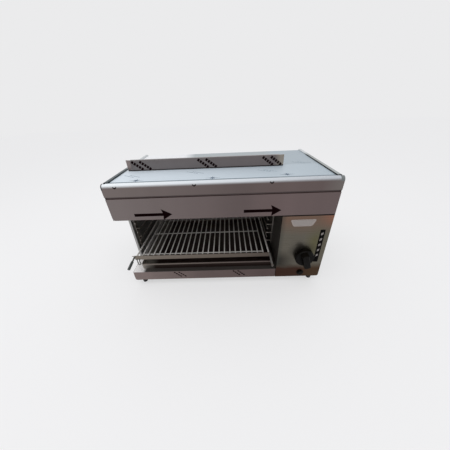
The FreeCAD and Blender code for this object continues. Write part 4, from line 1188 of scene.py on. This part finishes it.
def shown_rays(tree):
    """1 for what the view, a mirror or glass shows, and 0 for the light on the object."""
    path = tree.nodes.new("ShaderNodeLightPath")
    camera_ray, glossy_ray, glass_ray = [
        Number(tree, path.outputs["Is " + kind + " Ray"])
        for kind in ("Camera", "Glossy", "Transmission")]
    return camera_ray + glossy_ray + glass_ray


floor_finish = Finish("studio_floor", {"Base Color": tone(168, 168, 169), "Roughness": 0.9,
                                       "Specular IOR Level": 0.0, "Emission Strength": 1.0})
glow = floor_finish.scaled(tone(255, 255, 255), shown_rays(floor_finish.tree) * floor_glow)
floor_finish.set({"Emission Color": glow})
floor_mesh.materials.append(floor_finish.material)
floor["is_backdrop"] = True

world = bpy.data.worlds.new("studio_world")
bpy.context.scene.world = world
world.use_nodes = True
world_tree = world.node_tree
sky = world_tree.nodes["Background"]
sky.inputs["Color"].default_value = tone(240, 240, 242)
sky.inputs["Strength"].default_value = 0.95
backdrop = world_tree.nodes.new("ShaderNodeBackground")
backdrop.inputs["Color"].default_value = tone(235, 235, 236)
choice = world_tree.nodes.new("ShaderNodeMixShader")
put(world_tree, choice.inputs["Fac"], shown_rays(world_tree))
world_tree.links.new(sky.outputs["Background"], choice.inputs[1])
world_tree.links.new(backdrop.outputs["Background"], choice.inputs[2])
world_tree.links.new(choice.outputs["Shader"], world_tree.nodes["World Output"].inputs["Surface"])

lamp_place = Vector((-0.4, -0.5, 2.2))
lamp_aim = Vector((0, 0, 0.2))
lamp_data = bpy.data.lights.new("soft_top_lamp", "AREA")
lamp_data.shape = "RECTANGLE"
lamp_data.size = 2.6
lamp_data.size_y = 1.8
lamp_data.energy = 12.0
lamp = placed("soft_top_lamp", lamp_data)
lamp.matrix_world = Matrix.Translation(lamp_place) @ (
    (lamp_aim - lamp_place).to_track_quat("-Z", "Y").to_matrix().to_4x4())

camera_place = Vector((0.0228, -0.8243, 0.6859))
camera_yaw = math.radians(-1.502)
camera_pitch = math.radians(31.748)
camera_roll = math.radians(-2.562)
forward = Vector((math.sin(camera_yaw) * math.cos(camera_pitch),
                  math.cos(camera_yaw) * math.cos(camera_pitch), -math.sin(camera_pitch)))
level_right = Vector((math.cos(camera_yaw), -math.sin(camera_yaw), 0))
level_up = level_right.cross(forward)
camera_right = level_right * math.cos(camera_roll) + level_up * math.sin(camera_roll)
camera_up = level_up * math.cos(camera_roll) - level_right * math.sin(camera_roll)
camera_data = bpy.data.cameras.new("front_camera")
camera_data.sensor_width = 36.0
camera_data.lens = 15.865
camera_data.clip_start = 0.02
camera = placed("front_camera", camera_data)
turn = Matrix((camera_right, camera_up, -forward)).transposed().to_4x4()
camera.matrix_world = Matrix.Translation(camera_place) @ turn
bpy.context.scene.camera = camera
bpy.context.scene.view_settings.view_transform = "Standard"

low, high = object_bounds()
